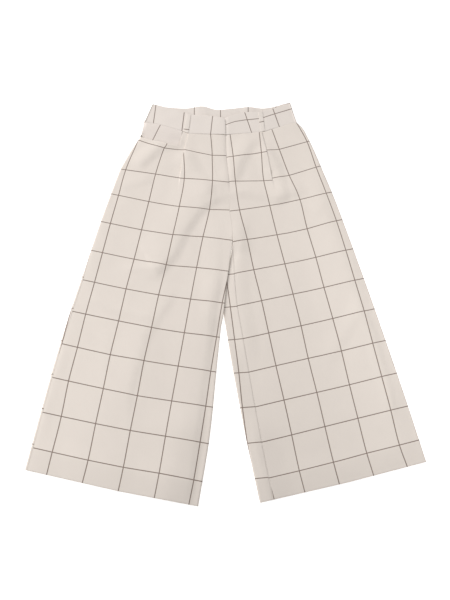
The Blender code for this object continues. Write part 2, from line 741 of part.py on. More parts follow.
def make_facing(material, collection):
    """The cloth behind the open pocket mouth of the wearer's right front."""
    rows = []
    for drop in FACING_DROPS:
        row = Row("right", drop)
        row.wall = FACING_WALL
        tucked = drop > POCKET_DROP - 5.0
        end = POCKET_STRIP - 1.5
        level = lerp(5.0, FACING_FLOOR, smooth(drop / 40.0))
        points = []
        for inset in FACING_INSETS:
            along = row.reach_out - inset - (FACING_TUCK if tucked else 0.0)
            rim = row.outer_height / 2 + 0.75
            near = 0.0 if tucked else 1.0 - smooth((inset - 0.5) / 8.0)
            x, y = row.plan(along)
            points.append((x, y, lerp(level, rim, near)))
        start = along
        for i in range(1, 5):
            along = lerp(start, end, i / 4)
            low = 1.0 - smooth((along - end - 4.0) / 30.0)
            x, y = row.plan(along)
            points.append((x, y, lerp(level, FACING_FLOOR, low)))
        rows.append(points)
    walls = [FACING_WALL] * len(rows)
    make_sheet("pocket_facing_right", rows, walls, material, collection)


def make_front_loops(material, collection):
    for side, x_seam in FRONT_LOOPS.items():
        row = band_row(side)
        if abs(x_seam) >= abs(row.x):
            middle = (x_seam - row.x) / row.outward[0]
        else:
            middle = (row.x - x_seam) / row.inward[0]
        rows = []
        for share, rise in LOOP_PROFILE:
            across = []
            for step in (1.0, -1.0):
                x, y, z = band_point(side, row, middle + step * LOOP_WIDTH / 2, share)
                z = band_point(side, row, middle, share)[2]
                foot = z + BAND_WALL / 2 + SEAM_GAP + LOOP_WALL / 2
                across.append((x, y, foot + rise * LOOP_RISE))
            rows.append(across)
        rows.reverse()
        walls = [LOOP_WALL] * len(rows)
        make_sheet(f"belt_loop_front_{side}", rows, walls, material, collection)


def make_back_loops(material, collection):
    """Straps pressed flat between the back band and the surface."""
    for side, middle in BACK_LOOPS.items():
        height = curve(BAND_BACK, middle, 1)
        low = Row(side, 0.0, back=True).y + SEAM_GAP + 1.5
        size = (LOOP_WIDTH, height - 4.0, BACK_LOOP_WALL)
        centre = (middle, low + size[1] / 2, size[2] / 2)
        make_plate(f"belt_loop_back_{side}", size, centre, 0.3, material, collection)


def make_plate(name, size, centre, bevel, material, collection):
    bpy.ops.mesh.primitive_cube_add(size=1.0)
    plate = bpy.context.object
    plate.name = name
    plate.data.name = name
    for vertex in plate.data.vertices:
        for axis in range(3):
            vertex.co[axis] *= size[axis] * MM
    plate.location = [(centre[axis] - ORIGIN[axis]) * MM for axis in range(3)]
    plate.data.materials.append(material)
    for owner in list(plate.users_collection):
        owner.objects.unlink(plate)
    collection.objects.link(plate)
    edge = plate.modifiers.new("edge", "BEVEL")
    edge.width = bevel * MM
    edge.segments = 1
    return plate


def make_zip(material, collection):
    """The zip's strip, between the left front's underlap and the fly."""
    rows = []
    level = FLY_LEVEL_LEFT + WALL / 2 + SEAM_GAP + ZIP_WALL / 2
    for drop in ZIP_DROPS:
        row = Row("right", drop)
        rows.append([row.point(-row.reach_in + inset, level)
                     for inset in (ZIP_WIDTH + 4.0, 4.0)])
    make_sheet("fly_zip", rows, [ZIP_WALL] * len(rows), material, collection)


def make_hook(material, collection):
    """The concealed hook plate between the tab and the underlap."""
    row = band_row("right")
    _, y, level = band_point("right", row, -row.reach_in + 10.0, 0.5)
    z = level - BAND_WALL / 2 - SEAM_GAP - HOOK_SIZE[2] / 2
    centre = (BAND_END_RIGHT - 8.0, y, z)
    make_plate("waist_hook", HOOK_SIZE, centre, 0.15, material, collection)


def clear_scene():
    for item in list(bpy.data.objects):
        bpy.data.objects.remove(item)


def main():
    clear_scene()
    collection = bpy.data.collections.new("palazzo_pants")
    bpy.context.scene.collection.children.link(collection)
    materials = {name: make_material(name) for name in MATERIALS}
    make_fronts(materials["cloth"], collection)
    make_backs(materials["cloth"], collection)
    make_front_bands(materials["band"], collection)
    make_back_band(materials["band"], collection)
    make_facing(materials["facing"], collection)
    make_front_loops(materials["loop"], collection)
    make_back_loops(materials["loop"], collection)
    make_zip(materials["zip"], collection)
    make_hook(materials["metal"], collection)


main()
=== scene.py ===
"""Palazzo pants laid flat, dressed for a render.

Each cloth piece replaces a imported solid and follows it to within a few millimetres,
with a thinner wall and finer folds. A panel is a grid of points: its rows are weft
lines of the leg, read from tables, and each point also gets cloth coordinates, in
repeats of the check, which the UV map "cloth" keeps. Sizes are in millimetres and
tables are in plan; ORIGIN is where the model's own origin lies in them. A drop is a
length down the grain from the waist seam, and "right" is the wearer's right.
"""
import math

import bpy
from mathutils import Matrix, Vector, noise


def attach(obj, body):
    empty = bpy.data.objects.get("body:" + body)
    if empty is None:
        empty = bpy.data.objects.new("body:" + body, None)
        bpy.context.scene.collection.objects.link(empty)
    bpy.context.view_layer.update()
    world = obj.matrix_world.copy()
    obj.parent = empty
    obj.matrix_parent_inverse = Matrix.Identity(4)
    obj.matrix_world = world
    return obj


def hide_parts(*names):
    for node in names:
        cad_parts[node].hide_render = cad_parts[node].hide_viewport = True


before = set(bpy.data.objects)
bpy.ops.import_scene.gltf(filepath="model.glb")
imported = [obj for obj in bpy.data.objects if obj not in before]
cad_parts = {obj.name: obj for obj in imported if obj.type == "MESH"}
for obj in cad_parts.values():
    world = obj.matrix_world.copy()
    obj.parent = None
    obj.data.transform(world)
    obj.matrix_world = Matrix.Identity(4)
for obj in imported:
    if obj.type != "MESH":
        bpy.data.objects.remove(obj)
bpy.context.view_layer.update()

MM = 0.001
ORIGIN = (4.83, 1.89, 0.0)

# Walls and gaps.
WALL = 0.5
HEM_WALL = 1.0
BAND_WALL = 1.0
FACING_WALL = 0.5
LOOP_WALL = 0.45
ZIP_WALL = 0.3
SEAM_GAP = 0.1
SEAM_HALF = 0.12      # arc from a side seam to each panel's end
JOIN_GAP = 0.1        # between panels at the centre and waist seams

# The check: repeat along the weft and along the warp, drop of the first weft line.
REPEAT_U = 72.0
REPEAT_V = 74.0
FIRST_WEFT = 58.0

HEM_TONE = 0.94       # how dark the doubled hem looks

# Lengths along the grain, measured down from the waist seam.
POCKET_DROP = 48.0
FLY_DROP = 128.0
CROTCH_DROP = 280.0
HEM_TOP = 800.0
HEM_DROP = 844.0

# Edge rolls: depth over rise for single and for doubled cloth, then the runs over which
# the front settles to its level from the inner edge, the outer edge and the left hem's
# inner edge.
ROLL_FLATNESS = 1.4
THICK_FLATNESS = 1.05
EDGE_BLEND = 26.0
OUTER_BLEND = 80.0
HEM_BLEND = 74.0

# Crossed inseams: lift, run over which a back's columns draw closer, y of the crotch.
CROSS_LIFT = 2.8
CLIMB_REACH = 66.0
CROTCH_Y = 107.0

# Weft lines of each leg: drop, the point where the pleat or its grain line crosses,
# climb toward the outer edge on the outer and the inner side of it, and the bow.
LAY_RIGHT = [
    (0, -84, 383.5, 16.5, 2.3, 4),
    (58, -92, 340, 13, 8.5, -3.5),
    (132, -102, 267, 9.5, 6, 0),
    (206, -106, 195, 11.3, 4, 0),
    (280, -116, 124.5, 11.3, 6, 0),
    (428, -142, -18, 11.5, 7.8, 0),
    (576, -169, -165, 11.6, 9.2, 0),
    (724, -192, -312, 11.6, 9.5, 0),
    (844, -211, -433, 12.3, 10.3, 0),
]
LAY_LEFT = [
    (0, 90, 387, 18.2, 4.7, 0),
    (58, 101, 334, 15.8, 7.3, 0),
    (132, 112, 265.5, 14.6, 5, 0),
    (206, 125, 201, 13.2, 9, 0),
    (280, 139.5, 129, 14, 10.6, 0),
    (428, 171.5, -11.5, 13.7, 13, 0),
    (576, 199.5, -155.5, 13.7, 13.2, 0),
    (724, 228.4, -299, 13.9, 13.7, 0),
    (844, 252.4, -415.5, 14.1, 12.5, 0),
]
BACK_WAIST_RIGHT = (0, -84, 408.5, 3.2, 0, 0)
BACK_WAIST_LEFT = (0, 90, 408.5, 4.6, 0, 0)

# The x of each warp line of the check where it crosses a weft line, from the outer
# edge inward. The pleat hides cloth, so line 2 of the right leg and line 1 of the
# left one have a place on each side of it.
WARPS_RIGHT = (0, 1, 2, 2, 3, 4)
CHECK_RIGHT = [
    (0, -208, -138, -68, -103, -31, 40),
    (48, -200, -133, -69, -96, -27.5, 43),
    (66, -204, -141, -73, -94, -27, 43),
    (132, -227, -158, -93, -91, -26, 43),
    (206, -241, -171, -101, -101, -32, 40),
    (280, -256, -185, -114, -114, -47, 25),
    (354, -270, -199, -127, -127, -60, 12),
    (428, -284, -214, -142, -142, -72, -3),
    (502, -299, -227, -155, -155, -84, -15),
    (576, -312, -241, -169, -169, -96, -27),
    (650, -326, -252, -180, -180, -108, -37),
    (724, -336, -264, -192, -192, -119, -48),
    (798, -349, -275, -203, -203, -130, -60),
    (844, -357, -284, -211, -211, -138, -69),
]
WARPS_LEFT = (4, 3, 2, 1, 1, 0, -1)
CHECK_LEFT = [
    (0, 240, 172, 114, 38, 84, 15, -50),
    (58, 262, 196, 130, 62, 88, 22, -44),
    (132, 282, 215, 151, 84, 92, 27, -40),
    (206, 300, 235, 174, 105, 105, 36, -33),
    (280, 322, 255, 188, 120, 120, 53, -17),
    (354, 340, 272, 205, 136, 136, 67, -3),
    (428, 356, 288, 220, 152, 152, 83, 12),
    (502, 372, 304, 236, 167, 167, 97, 26),
    (576, 386, 318, 251, 180, 180, 111, 40),
    (650, 399, 332, 264, 195, 195, 126, 55),
    (724, 414, 346, 278, 209, 209, 140, 70),
    (798, 427, 359, 292, 223, 223, 153, 89.5),
    (844, 438, 372, 303, 233, 233, 163, 101),
]
# How far each weft line lies above its straight row at those crossings.
WEFT_RIGHT = [
    (0, 0, 0, 0, 0, 0, 0),
    (58, 0.6, -3.6, 1.6, 0.3, -5.3, 4),
    (132, -0.9, 0.6, 0, -0.8, 0, 0),
    (206, 0, -1, -0.7, -0.7, -2.8, 0),
    (280, -0.5, -1.3, -0.3, -0.3, 2.8, -0.3),
    (354, -1.1, -1.8, -1.4, -1.4, 0.9, 0),
    (428, 0.1, -0.6, 0, 0, -0.4, 0),
    (502, -0.1, -0.4, -0.7, -0.7, -1.9, -0.5),
    (576, -0.4, -1.8, 0, 0, -0.2, 0),
    (650, -0.3, -1.2, -1.5, -1.5, -0.6, 0.1),
    (724, -0.6, -0.8, 0, 0, 0.2, 0.1),
    (798, -0.3, -0.6, 0.6, 0.6, 1.5, 0.8),
    (844, 0, 0, 0, 0, 0, 0),
]
WEFT_LEFT = [
    (0, 0, 0, 0, 0, 0, 0, 0),
    (58, 0, 0.1, -1.2, 13, -0.6, -1.9, 1),
    (132, 3, 1.7, -2.7, 2.4, -4.8, -0.1, 0),
    (206, 0, 0.2, -1.5, -0.8, -0.8, -1, 1),
    (280, 0, 0.2, -2.1, -0.4, -0.4, 0.2, 0),
    (354, -1.6, -1.6, -1.1, 0.3, 0.3, 1, 1),
    (428, -1.9, -1.9, -1.3, 0, 0, 0.9, 0.9),
    (502, -1.5, -1.5, -0.9, -0.3, -0.3, 0.1, 0),
    (576, -1.4, -1.4, -1.1, 0.1, 0.1, 0.3, 0),
    (650, -2, -2, -2, -1.2, -1.2, -0.6, -0.6),
    (724, -1.1, -1.1, -0.3, -0.3, -0.3, -0.5, -0.5),
    (798, 0, -0.1, 0.6, -0.5, -0.5, -1.3, -1.3),
    (844, 0, 0, 0, 0, 0, 0, 0),
]
CHECK_SPLIT = {"right": 3, "left": 4}    # how many of the columns lie outside the pleat

# Outlines, as x at a given y.
OUTER_RIGHT = [
    (-390, -402), (-249, -375), (-120, -348.5), (16, -315), (161, -278),
    (221, -261), (282, -243), (313, -230), (345, -214.5), (369, -200.5),
    (384, -195), (415, -190),
]
OUTER_LEFT = [
    (-376, 412), (-249, 381), (-120, 347.5), (16, 311), (161, 270),
    (221, 252), (282, 231.5), (345, 210), (377, 197), (399, 187),
    (416, 172),
]
CENTRE_SEAM = [
    (107, 20), (153, 18), (187, 13.5), (255, 12), (324, 6), (420, 4),
]
INNER_RIGHT = [
    (-461, -50), (-323, -28), (-173, -13.5), (-93, -5.5), (-66, -0.5),
    (-30, 3), (7, 7), (37, 11), (72, 15.5),
]
INNER_LEFT = [
    (-454, 72), (-323, 45), (-249, 31), (-173, 17.5), (-93, 4.5),
    (-66, 0.8), (-38, -1.5), (-10, -1.5), (20, 1.5), (47, 8), (72, 15.7),
]
INSEAM_LEFT = [
    (-456, 99), (-334, 77), (-189, 53), (-113, 41), (-41, 29.5),
    (34, 24), (107, 20.3),
]
# The back's warp line that shows beside the left leg's inseam.
BACK_WARP_LEFT = [
    (-456, 68), (-332, 48), (-263, 39), (-189, 32), (-114, 23),
    (-40, 14), (7, 8), (107, -4),
]
BACK_SLANT = 0.15     # how much less the back's weft lines climb beside that seam
SIDE_STEP = 7.0       # how much higher the back's weft lines meet the right side seam

# Heights by drop: the front's level, then the outer edge, the right leg's inner edge and
# the left leg's.
HEIGHTS = [
    (0, 5.4, 6.5, 3.2, 2.3),
    (58, 5.2, 6.4, 3.2, 2.3),
    (132, 4.3, 6.2, 3.2, 2.3),
    (206, 3.5, 5.9, 3.2, 2.3),
    (300, 2.9, 5.3, 3.2, 2.3),
    (480, 2.9, 5, 3.6, 2.9),
    (560, 2.9, 5, 4.6, 4.6),
    (700, 2.9, 5.1, 5.1, 6.2),
    (770, 2.9, 5.2, 5.2, 7.2),
    (803, 3.9, 6.2, 6.2, 8.2),
    (844, 4, 6.2, 6.2, 8.4),
]

# The pleat by drop: its tuck, the turn of its wall in degrees, and the arc of that turn.
PLEAT = [
    (0, 15, 180, 0.92),
    (58, 11, 180, 0.92),
    (100, 3, 180, 0.92),
    (118, 0.8, 105, 1.1),
    (134, 0.6, 32, 1.4),
    (156, 0.6, 6, 2.4),
    (190, 0.6, 0, 5),
    (240, 2, 0, 20),
    (320, 8, 0, 42),
    (844, 8, 0, 48),
]
# Lowest height of the pleat's wall, and where and over what run the front falls to it.
PLEAT_FLOOR = 2.1
PLEAT_LIP = 1.5
PLEAT_SETTLE = 46.0

# Soft folds of the fronts: width of the steep side, of the gentle side, height, and
# the path of the steep side's middle. The steep side falls to the right of the path.
FOLDS = [
    # Under the open pocket mouth.
    (22, 30, 2.2, [(-201, 282), (-172, 313), (-145, 340), (-114, 348), (-84, 360)]),
    # From the right pleat toward the fly.
    (28, 44, 2.4, [(-12, 224), (-30, 250), (-48, 276), (-67, 313), (-88, 350)]),
    # Along the fly's edge.
    (12, 30, 0.5, [(5, 240), (5, 300), (2, 345), (-3, 400)]),
    # From the fly up to the left pleat, and down along it.
    (24, 36, 2.1, [(20, 236), (31, 262), (47, 308), (62, 340), (86, 372)]),
    (22, 40, 2.3, [(150, 190), (143, 240), (133, 290), (116, 332), (90, 366)]),
    # Across the left thigh.
    (24, 40, 2.4, [(-2, 221), (49, 221), (88, 213), (122, 207), (157, 219), (200, 230)]),
    (24, 30, 1, [(140, 200), (185, 182), (228, 166)]),
    # From the crotch down the right leg.
    (24, 85, 3.3, [(-188, 20), (-147, 26), (-126, 50), (-107, 72), (-96, 96), (-82, 132),
                       (-55, 174), (-37, 195), (-6, 210), (30, 214)]),
    (20, 60, 1.5, [(-196, -300), (-190, -218), (-173, -168), (-162, -120), (-142, -80),
                       (-113, -30), (-98, 12)]),
    # Along the inner edges.
    (28, 80, 3.2, [(-76, -520), (-52, -372), (-46, -311), (-39, -249), (-33, -196),
                       (-25, -120), (-21, -53), (-12, -7), (-4, 90)]),
    (64, 90, 3, [(-112, -600), (-88, -470), (-70, -380), (-54, -250)]),
    (90, 60, 2, [(150, -600), (128, -470), (104, -380), (80, -260)]),
    (30, 30, 1.6, [(72, -190), (65, -120), (55, -53), (47, -7), (50, 52), (50, 112),
                       (44, 156), (26, 190)]),
    # Along the outer edges.
    (36, 90, 3.2, [(400, -420), (374, -300), (352, -215), (334, -140), (306, -40),
                       (284, 50), (262, 124), (240, 198), (221, 262), (204, 310)]),
    (13, 26, 1, [(353, -312), (356, -270), (353, -228), (343, -186), (327, -109),
                       (303, -41), (293, 5)]),
    (20, 26, 0.7, [(-370, -350), (-360, -270), (-348, -218), (-335, -164), (-328, -100)]),
    # Small ones, pressed in.
    (14, 18, 0.8, [(-306, -24), (-247, -57), (-192, -71), (-146, -80)]),
    (14, 22, 0.8, [(-226, 34), (-163, 38), (-118, 42)]),
    (22, 30, 1, [(234, -180), (253, -131), (283, -87), (312, -48)]),
    (18, 24, 0.7, [(-240, 232), (-194, 248), (-160, 262)]),
]
# Slack of the cloth: size of its waves across and along the leg, and their height.
SLACK = [(52, 150, 0.5), (20, 40, 0.14)]

# The front bands, by share of the way from the side seam to the band's end: height, lean
# and level.
BAND_RIGHT = [
    (0, 49, 18, 5.4),
    (0.25, 48, 11, 5.4),
    (0.5, 50, 6, 5.4),
    (0.7, 51, 3, 5.5),
    (0.81, 49.5, 1.8, 5.9),
    (0.89, 47.5, 0.8, 6.5),
    (0.94, 45.8, 0, 6.74),
    (0.988, 42, -0.6, 6.72),
    (1, 38, -1, 6.35),
]
BAND_LEFT = [
    (0, 50, 13, 5.4),
    (0.25, 52, 9, 5.4),
    (0.45, 55, 4, 5.4),
    (0.62, 57, 2, 5.4),
    (0.8, 51, 1.5, 5.7),
    (0.85, 47, 1, 5.8),
    (0.887, 45, 1, 4.45),
    (0.93, 43.8, 0.6, 4.2),
    (1, 42, 0, 4.15),
]
BAND_TABLES = {"right": BAND_RIGHT, "left": BAND_LEFT}
BAND_RUN_ON = {"right": 0.5, "left": 25.0}
# The back band at a given x: height and lean.
BAND_BACK = [
    (-190, 49, 18), (-140, 46, 8), (-93, 46, 2), (-52, 52, 0),
    (-16, 43, 0), (20, 46, 0), (60, 50, 0), (99, 46, -2),
    (132, 49, -6), (150, 53, -9), (172, 55, -13),
]
# Warp lines of the bands, as x at the waist seam, from -X to +X, and their lean.
BAND_WARPS = {
    "right": (-235, -167, -99, -31, 37),
    "left": (0, 66, 132, 198),
    "back": (-207, -137, -70.5, -7.8, 58.5, 125, 192),
}
BAND_WARP_LEAN = {"right": 4.5, "left": -13.5, "back": 0.0}
# Height of the weft line above the seam, as knots along x.
BAND_WEFT = {
    "right": ((0, -16), (1, -16)),
    "left": ((4, 26.5), (26, 33.5), (50, 36), (100, 37), (170, 36.5)),
    "back": ((0, -20), (1, -20)),
}

LOOP_WIDTH = 12.0
LOOP_RISE = 0.2
FRONT_LOOPS = {"right": -89.0, "left": 92.0}
LOOP_TICKS = {"right": 8.0, "left": 24.0}    # height of the weft line on each loop
LOOP_TILTS = {"right": 1.7, "left": 0.0}     # and how much it falls outward
# A front loop from the seam up: share of the band's height, and rise in LOOP_RISE.
LOOP_PROFILE = [
    (0.01, 0), (0.06, 0), (0.1, 0), (0.15, 0.4), (0.22, 1), (0.36, 1.08),
    (0.5, 1.1), (0.65, 1.08), (0.8, 1), (0.88, 0.4), (0.92, 0), (0.98, 0),
]
BACK_LOOPS = {"right": -52.0, "left": 60.0}
BACK_LOOP_WALL = 0.6
BACK_LOOP_LIFT = 0.8

# The facing: how far it draws in below the pocket, lowest height, last drop, and the
# strip of the front between the mouth and the pleat.
FACING_TUCK = 8.0
FACING_FLOOR = 2.05
FACING_END = 70.0
POCKET_STRIP = 14.0
# The facing's warp line: x at a given y.
FACING_WARP = [(372.0, -165.7), (404.0, -151.3)]

# The fly and the zip behind it: insets from the right front's edge, and drops.
FLY_UNDERLAP = 34.0
FLY_LEVEL_RIGHT = 5.1
FLY_LEVEL_TOP = 5.4       # at the waist seam, where the tab lies higher
FLY_LEVEL_LEFT = 3.7
FLY_DROOP = 0.5           # how far the fly's edge sinks onto the left front, and over what
FLY_DROOP_RUN = 4.0
ZIP_LEVEL = 4.4
ZIP_INSETS = (26.0, 4.0)
ZIP_DROPS = (4.0, 108.0)

SIDES = {
    "right": {
        "sign": -1.0, "lay": LAY_RIGHT, "back_waist": BACK_WAIST_RIGHT,
        "outer": OUTER_RIGHT, "inner": INNER_RIGHT + CENTRE_SEAM,
        "inner_column": 0, "seam_on_top": 5.0,
        "check": CHECK_RIGHT, "weft": WEFT_RIGHT, "warps": WARPS_RIGHT,
    },
    "left": {
        "sign": 1.0, "lay": LAY_LEFT, "back_waist": BACK_WAIST_LEFT,
        "outer": OUTER_LEFT, "inner": INNER_LEFT + CENTRE_SEAM,
        "inner_column": 1, "seam_on_top": 0.0,
        "check": CHECK_LEFT, "weft": WEFT_LEFT, "warps": WARPS_LEFT,
    },
}

# Topstitching round the fly: drop, and distance from the fly's edge.
FLY_STITCH = [
    (3, 31), (20, 31), (40, 31), (60, 31), (80, 30.5), (100, 29.5), (112, 28),
    (122, 24.5), (130, 18), (136, 9), (139, 2),
]
# And below the pocket mouth: drop, distances from the strip and from the side, points.
POCKET_STITCH_DROP = POCKET_DROP + 5.0
POCKET_STITCH_ENDS = (2.0, 5.0)
POCKET_STITCH_STEPS = 24
THREAD_LENGTH = 2.6
THREAD_GAP = 1.1
THREAD_RADIUS = 0.2
THREAD_SIDES = 6
THREAD_LEAST = 0.5        # a shorter rest of a path gets no thread
# A thread's rings: share of its length, width, and lift above the cloth.
THREAD_RINGS = ((0.0, 0.25, -0.25), (0.12, 0.9, 0.05), (0.5, 1.0, 0.12),
                (0.88, 0.9, 0.05), (1.0, 0.25, -0.25))

# Fades, each as the value where it starts and the run that it takes.
CROSS_TOP = (4.0, 90.0)           # end of the crossing's lift, by y past the crotch
CROSS_RIGHT_Y = (-112.0, 52.0)    # start of the lift on each leg, by y and by x
CROSS_RIGHT_X = (-62.0, 56.0)
CROSS_LEFT_Y = (74.0, 30.0)
CROSS_LEFT_X = (23.0, 52.0)
LEG_CLOSES = (-12.0, 24.0)        # rim at a leg's inner edge, by drop past the crotch
HEM_WIDENS = (560.0, 160.0)       # wider slope of the left inner edge, by drop
FOLDS_OUTER = (1.5, 9.0)          # soft folds, by distance from the outer edge
FOLDS_INNER = (3.0, 18.0)         # and from the inner edge,
FOLDS_CROTCH = (-20.0, 40.0)      # which counts below the crotch, by drop past it
SEAM_CLIMBS = (330.0, 110.0)      # side seam coming onto the top, by drop
ROLL_CLOSES = (266.0, 17.0)       # the open edge at the centre becoming a roll, by drop
PLEAT_OPENS = (150.0, 80.0)       # pleat giving way to the plain front, by drop
UNDERLAP_ENDS = (-16.0, 16.0)     # underlap, by drop past the fly's end
FLY_SLOPE = (-3.0, 11.0)          # the left front's dip, by distance from the fly
SIDE_STEP_FADE = (-60.0, 40.0)    # step in the check, by distance from the side seam
LOOP_BULGE = (1.5, 12.0)          # back band, by distance from a loop's edge

# Other runs and margins.
FOLD_FADE = 0.2           # share of a fold's length that fades at each end
ROLL_MARGIN = 1.5         # least arc from a seam to the flat cloth
INSEAM_LEAD = 2.0         # the left inseam comes onto the top from this far above the
INSEAM_RUN = 8.0          # crotch, over this run
PLEAT_INNER_SETTLE = 34.0
FLY_TOP_RUN = 30.0
FLY_INNER_RUN = 40.0
FLY_END_RUN = 30.0
BACK_LAY_FROM = 100.0     # the back shares the front's weft lines from this drop down
BACK_WARP_RIGHT = 36.0    # from the rows' middle inward to the right back's warp line 0
FLAT_END_ARC = 0.3        # a shorter curl than this is left flat
FLAT_END_STRIP = 4.0
RIM_ROOM = 0.8            # share of the last cell that an edge's rounding may take
SHARP_ANGLE = 60.0        # degrees

# Height and sizes of the small waves of the front bands.
BAND_SLACK = 0.3
BAND_SLACK_SIZE = (30.0, 22.0)
BAND_SLACK_LAYER = 3.0    # which layer of the noise they are read from
BAND_LEAN_HEIGHT = 48.0   # height over which BAND_WARP_LEAN is reached

# The facing: first drop, how it draws in below the pocket, where it ends beside the
# strip between the mouth and the pleat (just short of it at the waist, under it further
# down), and how it falls from the band to its floor, rises to the side seam and stays
# low beside the strip.
FACING_TOP = 0.05
FACING_DRAWS_IN = (-8.0, 6.0)
FACING_PAST_STRIP = (0.3, -1.5)
FACING_SLIPS_UNDER = (13.0, 6.0)
FACING_LEVEL = 5.6
FACING_FALLS = (4.0, 44.0)
FACING_MARGIN = 0.5
FACING_RIM = 0.6
FACING_RIM_FADE = (0.5, 8.0)
FACING_LOW_ALONG = (4.0, 30.0)
FACING_LOW_DROP = (6.0, 30.0)
FACING_WEFT = (20.0, 0.4)         # drop and share of a repeat where its weft count starts

LOOP_CROWN = 0.15
LOOP_LENGTH = 50.0        # of the cloth coordinates along a front loop
LOOP_HALF_SPAN = 0.08     # half a front loop's width, in repeats of the check
BACK_LOOP_MARGINS = (1.5, 4.0)    # from the seam, and off the band's height

# Steps of the grids of points.
ROW_STEP = 4.0            # between the rows of a panel
HEM_ROW = 3.0             # height of the row in which the wall doubles
FRONT_STEPS = {"roll": 8, "outer": 38, "lip": 4, "turn": 8, "centre": 34}
BACK_STEPS = {"seam": 2, "roll": 9, "flat": 36, "climb": 16, "strip": 9}
BAND_STEPS = {"roll": 8, "front": 64, "back": 52, "front_rows": 16, "back_rows": 14}
FACING_STEPS = {"rows": 28, "across": 44}
LOOP_HALF_STEPS = 3
BACK_LOOP_ROWS = 16
ZIP_STEPS = {"rows": 26, "across": 10}
REACH_TRIES = 12

# Rounding of the free edges.
PANEL_RIM = 0.28
BAND_RIM = 0.22
BACK_BAND_RIM = 0.45
FACING_RIM_ROUND = 0.2
ZIP_RIM = 0.12

# Looks. Colours are linear.
CLOTH_COLOURS = {
    "cloth": (0.775, 0.705, 0.635),
    "band": (0.77, 0.705, 0.645),
    "facing": (0.77, 0.70, 0.64),
    "loop": (0.775, 0.71, 0.645),
}
LINE_COLOUR = (0.165, 0.112, 0.088)
LINE_HALF_WIDTHS = (1.05, 1.0)    # of the warp lines and of the weft lines
LINE_SOFTNESS = 0.15
TWILL_TURN = 7.0          # radians a millimetre: diagonals 0.9 mm apart across and along
YARN_TURN = 21.0
WHITE = (1.0, 1.0, 1.0)
# Name, place, target, size, power and colour of each light.
LIGHTS = [
    ("key", (-1.6, 1.2, 1.3), (0.0, 0.0, 0.0), (1.5, 1.5), 51.6, (1.0, 0.985, 0.985)),
    ("right", (0.5, -0.05, 0.5), (0.5, -0.05, 0.0), (0.2, 1.0), 1.5, WHITE),
    ("left", (-0.45, -0.35, 0.5), (-0.45, -0.35, 0.0), (0.2, 0.5), 0.6, WHITE),
]

# Camera: tilt from straight down, distance, lens, and the point that it looks at.
CAMERA_TILT = 18.0
CAMERA_DISTANCE = 1527.0
CAMERA_LENS = 42.0
CAMERA_TARGET = (3.0, -30.0, 4.5)


def clamp(value, low=0.0, high=1.0):
    return max(low, min(high, value))


def smooth(value):
    """0 to 1 with level ends."""
    value = clamp(value)
    return value * value * (3.0 - 2.0 * value)


def ease(value, start, run):
    """0 up to a start and 1 past its run, with level ends."""
    return smooth((value - start) / run)


def lerp(start, end, share):
    return start + (end - start) * share


def shares(count):
    """0 to 1 in even steps, both ends included."""
    return [i / count for i in range(count + 1)]


def curve(table, at, column=1):
    """A smooth curve through a table's rows, held level past its ends."""
    at = clamp(at, table[0][0], table[-1][0])
    index = 0
    while index < len(table) - 2 and at > table[index + 1][0]:
        index += 1
    (x0, y0), (x1, y1) = [(table[i][0], table[i][column]) for i in (index, index + 1)]
    slope = (y1 - y0) / (x1 - x0)
    before = after = slope
    if index > 0:
        previous = table[index - 1]
        before = (y1 - previous[column]) / (x1 - previous[0])
    if index < len(table) - 2:
        following = table[index + 2]
        after = (following[column] - y0) / (following[0] - x0)
    span = x1 - x0
    t = (at - x0) / span
    return ((2 * t ** 3 - 3 * t ** 2 + 1) * y0 + (t ** 3 - 2 * t ** 2 + t) * span * before
            + (3 * t ** 2 - 2 * t ** 3) * y1 + (t ** 3 - t ** 2) * span * after)


def read(table, at):
    """A table's values at a place, which is what its first column gives."""
    return [curve(table, at, column) for column in range(1, len(table[0]))]


def wall_at(drop):
    return HEM_WALL if drop >= HEM_TOP else WALL


def between(knots, at):
    """Straight lines through knots of (place, value), carried on past the ends."""
    index = 0
    while index < len(knots) - 2 and at > knots[index + 1][0]:
        index += 1
    (x0, y0), (x1, y1) = knots[index], knots[index + 1]
    return y0 + (y1 - y0) * (at - x0) / (x1 - x0)


def fold_share(path, x, y):
    """Signed distance to a path, plus to its right, and the share of its length."""
    best = None
    gone = 0.0
    for (x0, y0), (x1, y1) in zip(path, path[1:]):
        run_x, run_y = x1 - x0, y1 - y0
        length = math.hypot(run_x, run_y)
        share = clamp(((x - x0) * run_x + (y - y0) * run_y) / length ** 2)
        off_x, off_y = x - x0 - share * run_x, y - y0 - share * run_y
        distance = math.hypot(off_x, off_y)
        if best is None or distance < best[0]:
            right = off_x * run_y - off_y * run_x
            best = (distance, math.copysign(distance, right), gone + share * length)
        gone += length
    return best[1], best[2] / gone


def fold_height(x, y):
    """Height that the soft folds and the slack add at a point of a front."""
    total = 0.0
    for steep, gentle, height, path in FOLDS:
        reach = max(steep, gentle + steep / 2)
        if not (min(q[0] for q in path) - reach < x < max(q[0] for q in path) + reach
                and min(q[1] for q in path) - reach < y < max(q[1] for q in path) + reach):
            continue
        across, along = fold_share(path, x, y)
        past = across + steep / 2
        profile = 1.0 - smooth(past / steep if past > 0.0 else -past / gentle)
        total += height * profile * smooth(along / FOLD_FADE) * smooth((1.0 - along) / FOLD_FADE)
    for wide, long, height in SLACK:
        total += height * noise.noise(Vector((x / wide, y / long, wide)))
    return total


def cross_lift(side, x, y):
    """Lift near the crotch, where the right leg climbs over the left one."""
    above = 1.0 - ease(y - CROTCH_Y, *CROSS_TOP)
    if side == "right":
        return CROSS_LIFT * above * ease(y, *CROSS_RIGHT_Y) * ease(x, *CROSS_RIGHT_X)
    return CROSS_LIFT * above * ease(y, *CROSS_LEFT_Y) * (1.0 - ease(x, *CROSS_LEFT_X))


